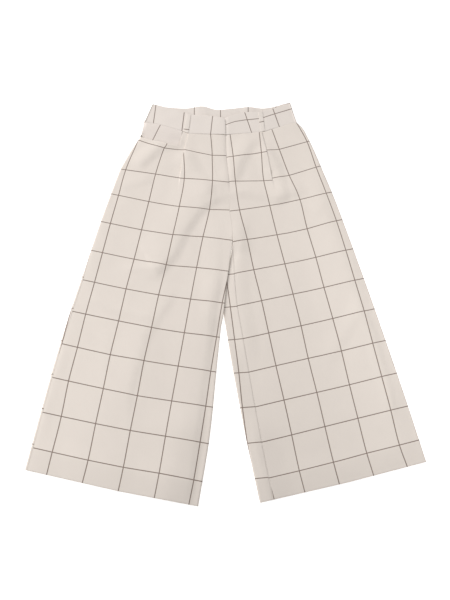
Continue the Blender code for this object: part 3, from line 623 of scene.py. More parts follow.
class Row:
    """One weft line of a leg: its plan points, heights and cloth coordinates."""

    def __init__(self, side, drop, back=False):
        facts = SIDES[side]
        self.side = side
        self.drop = drop
        self.sign = facts["sign"]
        table = facts["lay"]
        if back:
            table = [facts["back_waist"]] + [row for row in table if row[0] > BACK_LAY_FROM]
        self.x, self.y, rise_out, rise_in, self.bow = read(table, drop)
        out = math.radians(rise_out)
        into = math.radians(rise_in)
        self.outward = (self.sign * math.cos(out), math.sin(out))
        self.inward = (-self.sign * math.cos(into), -math.sin(into))
        self.reach_out = self._reach(self.outward, facts["outer"])
        self.reach_in = self._reach(self.inward, facts["inner"])
        self.wall = wall_at(drop)
        self.level, self.outer_height, *inner_heights = read(HEIGHTS, drop)
        self.inner_height = inner_heights[facts["inner_column"]]
        self._read_check(facts)

    def _reach(self, direction, outline):
        """Distance from the row's middle point to an outline, found by trying."""
        reach = 100.0
        for _ in range(REACH_TRIES):
            edge_x = curve(outline, self.y + reach * direction[1])
            reach = (edge_x - self.x) / direction[0]
        return reach

    def _read_check(self, facts):
        """Where the check's warp lines cross, outside the pleat and inside it."""
        self.warps = {}
        self.wefts = {}
        split = CHECK_SPLIT[self.side]
        crossings = list(zip(read(facts["check"], self.drop), read(facts["weft"], self.drop),
                             facts["warps"]))
        for part, direction, chosen in (
                ("outside", self.outward[0], crossings[:split]),
                ("inside", -self.inward[0], crossings[split:])):
            places = [((x - self.x) / direction, lift, line) for x, lift, line in chosen]
            self.warps[part] = sorted((along, float(line)) for along, _, line in places)
            self.wefts[part] = sorted((along, lift) for along, lift, _ in places)

    def cloth(self, along, part):
        """Cloth coordinates in repeats of the check."""
        lift = between(self.wefts[part], along)
        return between(self.warps[part], along), (self.drop + lift - FIRST_WEFT) / REPEAT_V

    def plan(self, along):
        """Plan point at a distance from the middle, outward if positive."""
        if along >= 0.0:
            x = self.x + along * self.outward[0]
            y = self.y + along * self.outward[1]
            share = along / self.reach_out
            return x, y + 4.0 * self.bow * share * (1.0 - share)
        return self.x - along * self.inward[0], self.y - along * self.inward[1]

    def front_level(self, along):
        """Middle of the front's wall, without folds, away from the pleat."""
        rim = self.outer_height - self.wall / 2
        level = lerp(rim, self.level, smooth((self.reach_out - along) / OUTER_BLEND))
        past_crotch = self.drop - CROTCH_DROP
        if past_crotch > LEG_CLOSES[0]:
            rim = self.inner_height - self.wall / 2
            blend = EDGE_BLEND
            if self.side == "left":
                blend = lerp(EDGE_BLEND, HEM_BLEND, ease(self.drop, *HEM_WIDENS))
            near = 1.0 - smooth((self.reach_in + along) / blend)
            level += ease(past_crotch, *LEG_CLOSES) * (rim - level) * near
        return level

    def point(self, along, z):
        x, y = self.plan(along)
        return x, y, z + cross_lift(self.side, x, y)

    def top_point(self, along):
        """A point of the cloth on top, soft folds included."""
        x, y = self.plan(along)
        folds = fold_height(x, y) * ease(self.reach_out - along, *FOLDS_OUTER)
        below = ease(self.drop - CROTCH_DROP, *FOLDS_CROTCH)
        folds *= lerp(1.0, ease(self.reach_in + along, *FOLDS_INNER), below)
        return x, y, self.front_level(along) + folds + cross_lift(self.side, x, y)


class Roll:
    """The curl of a leg's edge. Arc 0 is its outermost line, and plus is up."""

    def __init__(self, row, outer):
        self.row = row
        self.outer = outer
        self.height = row.outer_height if outer else row.inner_height
        self.rise = (self.height - row.wall) / 2
        self.depth = self.rise * (ROLL_FLATNESS if row.wall <= WALL else THICK_FLATNESS)
        self.quarter = math.pi / 2 * math.sqrt((self.rise ** 2 + self.depth ** 2) / 2)

    def inset(self, arc):
        """Distance from the outline to the middle of the wall."""
        if abs(arc) <= self.quarter:
            angle = arc / self.quarter * math.pi / 2
            return self.row.wall / 2 + self.depth * (1.0 - math.cos(angle))
        return self.row.wall / 2 + self.depth + abs(arc) - self.quarter

    def arc(self, inset):
        """The upper arc whose wall lies at a given inset."""
        past = inset - self.row.wall / 2 - self.depth
        if past >= 0.0:
            return self.quarter + past
        share = clamp(-past / self.depth)
        return self.quarter * math.acos(share) / (math.pi / 2)

    def curl(self, arc):
        """Height of the wall where it bends."""
        return self.height / 2 + self.rise * math.sin(arc / self.quarter * math.pi / 2)

    def along(self, arc, shift=0.0):
        inset = self.inset(arc) - shift
        return self.row.reach_out - inset if self.outer else inset - self.row.reach_in

    def point(self, arc, shift=0.0):
        """The wall's point at an arc, with the outline moved out by a shift."""
        along = self.along(arc, shift)
        if arc > self.quarter:
            return self.row.top_point(along)
        return self.row.point(along, self.curl(arc) if abs(arc) <= self.quarter
                              else self.row.wall / 2)


def arcs_between(start, end, bend_end, bend_steps, flat_steps):
    """Arc values from start to end, closer together where the wall bends."""
    share = bend_steps / (bend_steps + flat_steps)
    turn = min(bend_end, start + (end - start) * share)
    values = [lerp(start, turn, i / bend_steps) for i in range(bend_steps)]
    return values + [lerp(turn, end, share) for share in shares(flat_steps)]


def seam_arc_outer(row, roll):
    """Where the side seam lies on the outer roll."""
    on_top = SIDES[row.side]["seam_on_top"] * ease(row.drop, *SEAM_CLIMBS)
    return roll.arc(row.wall / 2 + on_top) if on_top > 0.0 else 0.0


def seam_arc_inner(row, roll):
    """Where the inseam lies on the inner roll, and how open the roll still is."""
    opening = roll.quarter * (1.0 - ease(row.drop, *ROLL_CLOSES))
    if row.side == "right":
        return 0.0, opening
    edge_y = row.plan(-row.reach_in)[1]
    inseam = curve(INSEAM_LEFT, edge_y) - curve(SIDES["left"]["inner"], edge_y)
    inseam *= smooth((CROTCH_Y + INSEAM_LEAD - edge_y) / INSEAM_RUN)
    return roll.arc(max(inseam, row.wall / 2)), opening


def pleat_columns(row):
    """Distance outward and height of the pleat's wall, from its outer end inward."""
    steps = FRONT_STEPS["turn"]
    tuck, turn, arc = read(PLEAT, row.drop)
    turn = math.radians(clamp(turn, 0.0, 180.0))
    points = [(0.0, 0.0)]
    headings = [turn * (i + 0.5) / steps for i in range(steps)]
    moves = [(arc / steps, heading) for heading in headings]
    moves += [(max(tuck, 0.5), turn)]
    moves += [(arc / steps, heading) for heading in reversed(headings)]
    for length, heading in moves:
        x, z = points[-1]
        points.append((x + length * math.cos(heading), z + length * math.sin(heading)))
    across, rise = points[-1]
    radius = arc / math.pi
    centre = (tuck / 2 + radius) * turn / math.pi
    start = centre - across / 2
    low = max(PLEAT_FLOOR, row.level - rise / 2) if rise > 0.01 else row.level
    return [(-(start + x), low + z) for x, z in points]


def dipped_point(row, along, lip):
    """A point of a front's top outside the pleat, where it falls to the lip's height."""
    x, y, z = row.top_point(along)
    dip = (1.0 - ease(along, PLEAT_LIP, PLEAT_SETTLE)) * (1.0 - ease(row.drop, *PLEAT_OPENS))
    return x, y, lerp(z, lip + cross_lift(row.side, x, y) + fold_height(x, y), dip)


def front_row(side, drop):
    """A front's points and their cloth coordinates along one weft line, inward."""
    steps = FRONT_STEPS
    row = Row(side, drop)
    outer = Roll(row, True)
    inner = Roll(row, False)
    cells = []

    def add(point, along, part):
        cells.append((point, row.cloth(along, part)))

    seam = seam_arc_outer(row, outer) + SEAM_HALF
    turn_end = max(outer.quarter, seam + ROLL_MARGIN)
    for i in range(steps["roll"]):
        arc = lerp(seam, turn_end, i / steps["roll"])
        add(outer.point(arc), outer.along(arc), "outside")
    edge = row.reach_out - outer.inset(turn_end)
    pleat = pleat_columns(row)
    first, last = pleat[0], pleat[-1]
    spread = ease(drop, *PLEAT_OPENS)
    near_pleat = [lerp(edge, POCKET_STRIP, share) for share in shares(steps["outer"])[:-1]]
    near_pleat += [lerp(POCKET_STRIP, PLEAT_LIP, share) for share in shares(steps["lip"])]
    for i, close in enumerate(near_pleat):
        along = lerp(close, lerp(edge, first[0], i / len(near_pleat)), spread)
        add(dipped_point(row, along, first[1]), along, "outside")
    for i, (along, z) in enumerate(pleat):
        x, y = row.plan(along)
        lift = cross_lift(side, x, y) + fold_height(x, y)
        if 2 * i < len(pleat):
            add((x, y, z + lift), max(along, 0.0), "outside")
        else:
            add((x, y, z + lift), min(along, 0.0), "inside")
    seam, opening = seam_arc_inner(row, inner)
    arc = max(seam + SEAM_HALF, opening)
    shift = inner.inset(arc) - JOIN_GAP / 2 if opening > 0.0 else 0.0
    turn_end = max(inner.quarter, arc + ROLL_MARGIN)
    edge = inner.inset(turn_end) - shift - row.reach_in
    for share in shares(steps["centre"])[1:-1]:
        along = lerp(last[0], edge, share)
        x, y, z = row.top_point(along)
        near = 1.0 - smooth((last[0] - along) / PLEAT_INNER_SETTLE)
        lift = cross_lift(side, x, y) + fold_height(x, y)
        height = lerp(z, last[1] + lift, near)
        add((x, y, height + fly_rise(row, along)), along, "inside")
    end = JOIN_GAP / 2 - row.reach_in - fly_underlap(side, drop)
    for share in shares(steps["roll"]):
        along = lerp(edge, end, share)
        x, y, z = inner.point(lerp(turn_end, arc, share), shift)
        if opening >= inner.quarter * 0.999:
            # Above the crotch the cloth runs flat to the centre seam.
            x, y, z = row.top_point(along)
        add((x, y, z + fly_rise(row, along)), along, "inside")
    return cells


def fly_underlap(side, drop):
    """How far the left front runs on under the right one."""
    if side == "right":
        return 0.0
    return FLY_UNDERLAP * (1.0 - ease(drop - FLY_DROP, *UNDERLAP_ENDS))


def fly_rise(row, along):
    """Height change toward the fly, where the right front lies over the left."""
    from_edge = row.reach_in + along
    if row.side == "right":
        droop = FLY_DROOP * (1.0 - smooth(from_edge / FLY_DROOP_RUN))
        level = lerp(FLY_LEVEL_TOP, FLY_LEVEL_RIGHT, smooth(row.drop / FLY_TOP_RUN))
        change = level - row.level - droop
        near = 1.0 - ease(from_edge, FLY_UNDERLAP, FLY_INNER_RUN)
    else:
        change = FLY_LEVEL_LEFT - row.level
        near = 1.0 - ease(from_edge, *FLY_SLOPE)
    fade = 1.0 - ease(row.drop, FLY_DROP, FLY_END_RUN)
    return change * near * fade


def back_row(side, drop):
    """A back's points and their cloth coordinates, from the side seam to the inseam."""
    steps = BACK_STEPS
    row = Row(side, drop, back=True)
    outer = Roll(row, True)
    inner = Roll(row, False)
    seam, opening = seam_arc_inner(row, inner)
    inseam_along = inner.along(seam)
    cells = []

    def add(point, along):
        v = (drop - FIRST_WEFT) / REPEAT_V
        if side == "left":
            u = (point[0] - curve(BACK_WARP_LEFT, point[1])) / REPEAT_U
            v += max(0.0, inseam_along - along) * BACK_SLANT / REPEAT_V
        else:
            u = -(along + BACK_WARP_RIGHT) / REPEAT_U
            v += SIDE_STEP * ease(along - row.reach_out, *SIDE_STEP_FADE) / REPEAT_V
        cells.append((point, (u, v)))

    end = seam_arc_outer(row, outer) - SEAM_HALF
    curl = arcs_between(-outer.quarter, end, outer.quarter, steps["roll"], steps["seam"])
    for arc in reversed(curl):
        add(outer.point(arc), outer.along(arc))
    arc = seam - SEAM_HALF if opening <= 0.0 else -max(opening, SEAM_HALF)
    shift = inner.inset(arc) - JOIN_GAP / 2 if opening > 0.0 else 0.0
    start = -inner.quarter
    flat_end = inner.inset(start) - shift - row.reach_in
    flat_start = row.reach_out - outer.inset(-outer.quarter)
    climb_start = flat_end + CLIMB_REACH
    flat = [lerp(flat_start, climb_start, share) for share in shares(steps["flat"])[1:-1]]
    flat += [lerp(climb_start, flat_end, share) for share in shares(steps["climb"])[:-1]]
    stays_flat = arc <= start + FLAT_END_ARC
    if stays_flat:
        # A flat end at the centre seam: the last columns lie side by side.
        flat += [lerp(flat_end + FLAT_END_STRIP, JOIN_GAP / 2 - row.reach_in, share)
                 for share in shares(steps["roll"] + steps["strip"])]
    for along in flat:
        add(row.point(along, row.wall / 2), along)
    if not stays_flat:
        for value in arcs_between(start, arc, inner.quarter, steps["roll"], steps["strip"]):
            add(inner.point(value, shift), inner.along(value, shift))
    return cells


def place(point):
    """A plan point in millimetres as a point of the model in metres."""
    return [(value - start) * MM for value, start in zip(point, ORIGIN)]


def grid_normal(rows, i, j):
    """Unit normal of a grid of points, and its two unit tangents."""
    last_row, last = len(rows) - 1, len(rows[0]) - 1
    down = Vector(rows[min(i + 1, last_row)][j]) - Vector(rows[max(i - 1, 0)][j])
    across = Vector(rows[i][min(j + 1, last)]) - Vector(rows[i][max(j - 1, 0)])
    down.normalize()
    across.normalize()
    return down.cross(across).normalized(), down, across


def add_piece(name, vertices, faces, material):
    """A smooth piece from a mesh, riding on the root. Its object is returned."""
    mesh = bpy.data.meshes.new(name)
    mesh.from_pydata(vertices, [], faces)
    mesh.materials.append(material)
    mesh.shade_smooth()
    piece = bpy.data.objects.new(name, mesh)
    bpy.context.scene.collection.objects.link(piece)
    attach(piece, "root")
    return piece


def make_sheet(name, rows, cloth, walls, material, rim, skip):
    """Cloth with a wall from a grid of points on the middle of it.

    Its free edges are rounded off by rim.
    """
    last_row, last = len(rows) - 1, len(rows[0]) - 1

    def filled(i, j):
        return 0 <= i < last_row and 0 <= j < last and not (skip and skip(i, j))

    vertices = []
    coordinates = []
    rings = {}

    def add(point, i, j):
        vertices.append(place(point))
        coordinates.append(cloth[i][j])
        return len(vertices) - 1

    def rounding(middle, tangent, pull, inner_point):
        """From an edge's middle inward to where its rounding starts, turned outward."""
        if not pull:
            return Vector()
        room = RIM_ROOM * (Vector(inner_point) - middle).length
        return tangent * math.copysign(min(rim, room), pull)

    def sign(value):
        return (value > 0) - (value < 0)

    for i in range(last_row + 1):
        for j in range(last + 1):
            around = [(di, dj) for di in (-1, 0) for dj in (-1, 0) if not filled(i + di, j + dj)]
            if len(around) == 4:
                continue
            middle = Vector(rows[i][j])
            normal, down, across = grid_normal(rows, i, j)
            half = walls[i] / 2
            if not around:
                rings[i, j] = [add(middle + normal * half, i, j), add(middle - normal * half, i, j)]
                continue
            pull_down = sum(-1 if di else 1 for di, _ in around)
            pull_across = sum(-1 if dj else 1 for _, dj in around)
            outward = rounding(middle, down, pull_down, rows[i - sign(pull_down)][j])
            outward += rounding(middle, across, pull_across, rows[i][j - sign(pull_across)])
            ring = []
            for side in (1.0, -1.0):
                corner = []
                for angle in (0.0, 45.0, 90.0):
                    turn = math.radians(angle)
                    height = half - rim * (1.0 - math.cos(turn))
                    corner.append(add(middle + normal * height * side
                                      - outward * (1.0 - math.sin(turn)), i, j))
                ring += corner if side > 0.0 else corner[::-1]
            rings[i, j] = ring
    faces = []

    def wall_between(first, second):
        for low, high in zip(range(5), range(1, 6)):
            faces.append([second[low], first[low], first[high], second[high]])

    for i in range(last_row):
        for j in range(last):
            if not filled(i, j):
                continue
            a, b, c, d = rings[i, j], rings[i + 1, j], rings[i + 1, j + 1], rings[i, j + 1]
            faces.append([a[0], b[0], c[0], d[0]])
            faces.append([d[-1], c[-1], b[-1], a[-1]])
            for di, dj, first, second in ((-1, 0, d, a), (1, 0, b, c), (0, -1, a, b), (0, 1, c, d)):
                if not filled(i + di, j + dj):
                    wall_between(first, second)
    sheet = add_piece(name, vertices, faces, material)
    mesh = sheet.data
    layer = mesh.uv_layers.new(name="cloth")
    for loop in mesh.loops:
        layer.data[loop.index].uv = coordinates[loop.vertex_index]
    mesh.set_sharp_from_angle(angle=math.radians(SHARP_ANGLE))
    return sheet


def path_length(path):
    return sum((start - end).length for start, end in zip(path, path[1:]))


def declare_cut(rows, skip):
    """Go over the cells of a grid of points, past the skipped ones, and do nothing with them."""
    grid = [[Vector(point) for point in row] for row in rows]
    for i in range(len(grid) - 1):
        for j in range(len(grid[0]) - 1):
            if skip and skip(i, j):
                continue


def lay(name, node, material, grid, walls, rim, skip=None):
    """A sheet that takes a node's place, from rows of points with cloth coordinates.

    Its wall is one number, or a list with one for each row.
    """
    if not isinstance(walls, list):
        walls = [walls] * len(grid)
    rows = [[point for point, _ in cells] for cells in grid]
    cloth = [[coordinates for _, coordinates in cells] for cells in grid]
    sheet = make_sheet(name, rows, cloth, walls, material, rim, skip)
    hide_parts(node)
    declare_cut(rows, skip)


def panel_drops():
    """Drops of a panel's rows: even, with the rows that a feature needs."""
    fixed = (0.0, POCKET_DROP, HEM_TOP - HEM_ROW, HEM_TOP, HEM_DROP)
    drops = [fixed[0]]
    for end in fixed[1:]:
        start = drops[-1]
        count = max(1, round((end - start) / ROW_STEP))
        drops += [lerp(start, end, share) for share in shares(count)[1:]]
    return drops


def make_panels(material):
    """The two fronts, the right one with an open pocket mouth, and the two backs."""
    drops = panel_drops()
    walls = [wall_at(drop) for drop in drops]
    pocket_row = drops.index(POCKET_DROP)
    pocket_column = FRONT_STEPS["roll"] + FRONT_STEPS["outer"]

    def pocket_mouth(i, j):
        return i < pocket_row and j < pocket_column

    for side in SIDES:
        lay(f"front_cloth_{side}", f"front_panel_{side}", material,
            [front_row(side, drop) for drop in drops], walls, PANEL_RIM,
            skip=pocket_mouth if side == "right" else None)
    for side in SIDES:
        lay(f"back_cloth_{side}", f"back_panel_{side}", material,
            [back_row(side, drop) for drop in drops], walls, PANEL_RIM)


def band_row(side, back=False):
    """A panel's waist seam, with the band's own wall."""
    row = Row(side, 0.0, back)
    row.wall = BAND_WALL
    return row


def band_point(side, row, along, share_up, z=None):
    """Plan and height of a front band's wall, share_up of the way up from its seam."""
    end = -row.reach_in - BAND_RUN_ON[side]
    share = (row.reach_out - along) / (row.reach_out - end)
    height, lean, level = read(BAND_TABLES[side], share)
    x, y = row.plan(along)
    x -= row.sign * lean * share_up
    y += JOIN_GAP + height * share_up
    return x, y, level if z is None else z


def band_slack(x, y):
    """Small waves of a front band, which its loop follows."""
    wide, high = BAND_SLACK_SIZE
    return BAND_SLACK * noise.noise(Vector((x / wide, y / high, BAND_SLACK_LAYER)))


def band_cloth(name, x, height):
    """Cloth coordinates of a band at a height above its seam."""
    knots = [(start, float(i)) for i, start in enumerate(BAND_WARPS[name])]
    warp_x = x - BAND_WARP_LEAN[name] * height / BAND_LEAN_HEIGHT
    return between(knots, warp_x), (height - between(BAND_WEFT[name], x)) / REPEAT_V


def band_edge(row, turn):
    """Places and heights round a side edge, and where the band is flat after it.

    A turn of 1 goes up from the side seam, and a turn of -1 goes down.
    """
    roll = Roll(row, True)
    places = []
    for share in shares(BAND_STEPS["roll"])[:-1]:
        arc = turn * lerp(SEAM_HALF, roll.quarter, share)
        places.append((roll.along(arc), roll.curl(arc)))
    return places, roll.along(turn * roll.quarter)


def make_front_bands(material):
    steps = BAND_STEPS
    for side in SIDES:
        row = band_row(side)
        places, start = band_edge(row, 1)
        end = -row.reach_in - BAND_RUN_ON[side]
        places += [(lerp(start, end, share), None) for share in shares(steps["front"])]
        grid = []
        for share in reversed(shares(steps["front_rows"])):
            cells = []
            for along, z in places:
                x, y, z = band_point(side, row, along, share, z)
                y_seam = row.plan(along)[1]
                cells.append(((x, y, z + band_slack(x, y)), band_cloth(side, x, y - y_seam)))
            grid.append(cells)
        lay(f"band_cloth_{side}", f"waistband_front_{side}", material, grid,
            BAND_WALL, BAND_RIM)


def back_band_lift(x):
    """The back band is raised over the belt loops that lie under it."""
    lift = 0.0
    for loop_x in BACK_LOOPS.values():
        past = abs(x - loop_x) - LOOP_WIDTH / 2
        lift = max(lift, BACK_LOOP_LIFT * (1.0 - ease(past, *LOOP_BULGE)))
    return lift


def make_back_band(material):
    steps = BAND_STEPS
    halves = []
    for side in SIDES:
        row = band_row(side, back=True)
        places, start = band_edge(row, -1)
        half = [(*row.plan(along), z) for along, z in places]
        for share in shares(steps["back"])[:-1]:
            x, y = row.plan(lerp(start, -row.reach_in, share))
            half.append((x, y, BAND_WALL / 2 + back_band_lift(x)))
        halves.append(half)
    line = halves[0] + halves[1][::-1]
    grid = []
    for share in shares(steps["back_rows"]):
        cells = []
        for x, y, z in line:
            height, lean = read(BAND_BACK, x)
            cells.append(((x + lean * share, y + JOIN_GAP + height * share, z),
                          band_cloth("back", x + lean * share, height * share)))
        grid.append(cells)
    lay("band_cloth_back", "waistband_back", material, grid,
        BAND_WALL, BACK_BAND_RIM)


def make_facing(material):
    """The cloth behind the open pocket mouth of the wearer's right front."""
    first_drop, first_share = FACING_WEFT
    grid = []
    for share_down in shares(FACING_STEPS["rows"]):
        drop = lerp(FACING_TOP, FACING_END, share_down)
        row = Row("right", drop)
        tuck = FACING_TUCK * ease(drop - POCKET_DROP, *FACING_DRAWS_IN)
        end = POCKET_STRIP + lerp(*FACING_PAST_STRIP, ease(drop, *FACING_SLIPS_UNDER))
        level = lerp(FACING_LEVEL, FACING_FLOOR, ease(drop, *FACING_FALLS))
        rim = row.outer_height / 2 + FACING_RIM
        cells = []
        for share in shares(FACING_STEPS["across"]):
            along = lerp(row.reach_out - FACING_MARGIN - tuck, end, share)
            near = 1.0 - ease(row.reach_out - along, *FACING_RIM_FADE)
            low = (1.0 - ease(along - end, *FACING_LOW_ALONG)) * ease(drop, *FACING_LOW_DROP)
            x, y = row.plan(along)
            z = lerp(lerp(level, FACING_FLOOR, low), rim, near)
            u = (x - between(FACING_WARP, y)) / REPEAT_U
            cells.append(((x, y, z), (u, (drop - first_drop) / REPEAT_V + first_share)))
        grid.append(cells)
    lay("facing_cloth", "pocket_facing_right", material, grid,
        FACING_WALL, FACING_RIM_ROUND)


def loop_steps():
    """From 1 at a loop's outer edge to -1 at its inner edge."""
    return [1.0 - j / LOOP_HALF_STEPS for j in range(2 * LOOP_HALF_STEPS + 1)]


def make_front_loops(material):
    for side, x_seam in FRONT_LOOPS.items():
        row = band_row(side)
        if abs(x_seam) >= abs(row.x):
            middle = (x_seam - row.x) / row.outward[0]
        else:
            middle = (row.x - x_seam) / row.inward[0]
        profile = [LOOP_PROFILE[0]]
        for before, after in zip(LOOP_PROFILE, LOOP_PROFILE[1:]):
            profile += [[(a + b) / 2 for a, b in zip(before, after)], after]
        grid = []
        for share, rise in reversed(profile):
            z = band_point(side, row, middle, share)[2]
            foot = z + BAND_WALL / 2 + SEAM_GAP + LOOP_WALL / 2
            cells = []
            for step in loop_steps():
                x, y, _ = band_point(side, row, middle + step * LOOP_WIDTH / 2, share)
                crown = LOOP_CROWN * (1.0 - step * step)
                point = (x, y, foot + rise * LOOP_RISE + crown + band_slack(x, y))
                weft = share * LOOP_LENGTH + LOOP_TILTS[side] * step - LOOP_TICKS[side]
                cells.append((point, (0.5 + step * LOOP_HALF_SPAN, weft / REPEAT_V)))
            grid.append(cells)
        lay(f"loop_cloth_front_{side}", f"belt_loop_front_{side}", material, grid,
            LOOP_WALL, BAND_RIM)


def make_back_loops(material):
    """Straps pressed flat between the back band and the surface."""
    margin, shorter = BACK_LOOP_MARGINS
    for side, middle in BACK_LOOPS.items():
        height = curve(BAND_BACK, middle, 1)
        low = Row(side, 0.0, back=True).y + SEAM_GAP + margin
        grid = []
        for i in range(BACK_LOOP_ROWS + 1):
            y = low + (height - shorter) * i / BACK_LOOP_ROWS
            cells = []
            for step in loop_steps():
                x = middle + step * LOOP_WIDTH / 2
                cells.append(((x, y, BACK_LOOP_WALL / 2),
                              (0.5 + x / REPEAT_U * 0.1, y / REPEAT_V)))
            grid.append(cells)
        lay(f"loop_cloth_back_{side}", f"belt_loop_back_{side}", material, grid,
            BACK_LOOP_WALL, PANEL_RIM)


def make_zip_tape(material):
    """The zip's tape, between the left front's underlap and the fly."""
    grid = []
    for share_down in shares(ZIP_STEPS["rows"]):
        drop = lerp(*ZIP_DROPS, share_down)
        row = Row("right", drop)
        cells = []
        for share in shares(ZIP_STEPS["across"]):
            inset = lerp(*ZIP_INSETS, share)
            x, y, z = row.point(inset - row.reach_in, ZIP_LEVEL)
            cells.append(((x, y, z + fold_height(x, y)), (inset / REPEAT_U, drop / REPEAT_V)))
        grid.append(cells)
    lay("zip_tape", "fly_zip", material, grid, ZIP_WALL, ZIP_RIM)


def fill(tree, node, inputs):
    """Give each input of a node a link, a colour or a number, by its name or place."""
    for key, value in inputs.items():
        socket = node.inputs[key]
        if isinstance(value, bpy.types.NodeSocket):
            tree.links.new(value, socket)
        else:
            socket.default_value = (*value, 1.0) if isinstance(value, tuple) else value


def maths(tree, operation, *values):
    node = tree.nodes.new("ShaderNodeMath")
    node.operation = operation
    fill(tree, node, dict(enumerate(values)))
    return node.outputs[0]


def weighted(tree, first, first_share, second, second_share):
    """The sum of two values, each times its share."""
    return maths(tree, "ADD", maths(tree, "MULTIPLY", first, first_share),
                 maths(tree, "MULTIPLY", second, second_share))


def noise_texture(tree, scale, detail, vector):
    node = tree.nodes.new("ShaderNodeTexNoise")
    fill(tree, node, {"Scale": scale, "Detail": detail, "Vector": vector})
    return node.outputs["Fac"]


def bump(tree, height, strength, distance):
    node = tree.nodes.new("ShaderNodeBump")
    fill(tree, node, {"Strength": strength, "Distance": distance, "Height": height})
    return node.outputs[0]


def stripe(tree, place_in_repeat, repeat, half_width):
    """1 on a thin line at each whole number, 0 elsewhere."""
    shifted = maths(tree, "ADD", place_in_repeat, 0.5)
    offset = maths(tree, "SUBTRACT", maths(tree, "FRACT", shifted), 0.5)
    distance = maths(tree, "MULTIPLY", maths(tree, "ABSOLUTE", offset), repeat)
    ramp = tree.nodes.new("ShaderNodeMapRange")
    ramp.interpolation_type = "SMOOTHSTEP"
    fill(tree, ramp, {"Value": distance,
                      "From Min": half_width - LINE_SOFTNESS,
                      "From Max": half_width + LINE_SOFTNESS,
                      "To Min": 1.0, "To Max": 0.0})
    return ramp.outputs["Result"]


def mix_colour(tree, share, first, second):
    node = tree.nodes.new("ShaderNodeMix")
    node.data_type = "RGBA"
    fill(tree, node, {"Factor": share, 6: first, 7: second})
    return node.outputs[2]


def scaled(colour, factor):
    return tuple(channel * factor for channel in colour)


def new_material(name):
    """A node material, with its tree and its shader."""
    material = bpy.data.materials.new(name)
    material.use_nodes = True
    tree = material.node_tree
    return material, tree, tree.nodes["Principled BSDF"]


def make_cloth(name, colour):
    """Off-white twill with a thin windowpane check, drawn from the cloth coordinates."""
    material, tree, shader = new_material(name)
    uv = tree.nodes.new("ShaderNodeUVMap")
    uv.uv_map = "cloth"
    split = tree.nodes.new("ShaderNodeSeparateXYZ")
    tree.links.new(uv.outputs["UV"], split.inputs[0])
    u, v = split.outputs[0], split.outputs[1]
    warp = stripe(tree, u, REPEAT_U, LINE_HALF_WIDTHS[0])
    weft = stripe(tree, v, REPEAT_V, LINE_HALF_WIDTHS[1])
    along_u = maths(tree, "MULTIPLY", u, REPEAT_U)
    along_v = maths(tree, "MULTIPLY", v, REPEAT_V)

    # Yarns: diagonal ridges with a fine rib across them.
    twill = maths(tree, "SINE", weighted(tree, along_u, TWILL_TURN, along_v, TWILL_TURN))
    yarn = maths(tree, "SINE", maths(tree, "MULTIPLY", along_v, YARN_TURN))
    weave = weighted(tree, twill, 0.5, yarn, 0.25)

    # Uneven yarns and a slight cloudiness of the colour.
    stretch = tree.nodes.new("ShaderNodeCombineXYZ")
    fill(tree, stretch, {0: maths(tree, "MULTIPLY", along_u, 1.6),
                         1: maths(tree, "MULTIPLY", along_v, 0.09)})
    slub = noise_texture(tree, 1.0, 3.0, stretch.outputs[0])
    cloud = noise_texture(tree, 1.3, 4.0, uv.outputs["UV"])
    tone = weighted(tree, slub, 0.55, cloud, 0.45)
    ground = mix_colour(tree, tone, scaled(colour, 0.95), scaled(colour, 1.05))
    # The doubled hem lets less light through.
    hem = maths(tree, "GREATER_THAN", v, (HEM_TOP - FIRST_WEFT) / REPEAT_V)
    ground = mix_colour(tree, maths(tree, "MULTIPLY", hem, 0.35), ground,
                        scaled(colour, HEM_TONE))
    # The check's lines are a little paler where the twill dips.
    lines = maths(tree, "MAXIMUM", warp, weft)
    dashes = maths(tree, "ADD", maths(tree, "MULTIPLY", twill, 0.1), 0.86)
    share = maths(tree, "MULTIPLY", lines, dashes)
    height = maths(tree, "ADD", weave, maths(tree, "MULTIPLY", slub, 0.8))
    fill(tree, shader, {
        "Base Color": mix_colour(tree, share, ground, LINE_COLOUR),
        "Roughness": maths(tree, "ADD", maths(tree, "MULTIPLY", weave, 0.05), 0.84),
        "Specular IOR Level": 0.25,
        "Sheen Weight": 0.12,
        "Sheen Roughness": 0.5,
        "Normal": bump(tree, height, 0.25, 0.12 * MM),
    })
    return material


def make_plain(name, colour, roughness, metallic=0.0, grain=900.0):
    """A plain surface with a fine grain."""
    material, tree, shader = new_material(name)
    place_node = tree.nodes.new("ShaderNodeTexCoord")
    uneven = noise_texture(tree, grain, 3.0, place_node.outputs["Object"])
    fill(tree, shader, {
        "Base Color": mix_colour(tree, uneven, scaled(colour, 0.88), colour),
        "Roughness": roughness,
        "Metallic": metallic,
        "Normal": bump(tree, uneven, 0.3, 0.02 * MM),
    })
    return material


def dress_node(name, material):
    """Give a solid that stays its finished material."""
    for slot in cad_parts[name].material_slots:
        slot.material = material


def point_at(path, distance):
    """The point at a distance along a path."""
    for start, end in zip(path, path[1:]):
        size = (end - start).length
        if distance <= size:
            return start.lerp(end, distance / size)
        distance -= size
    return path[-1]


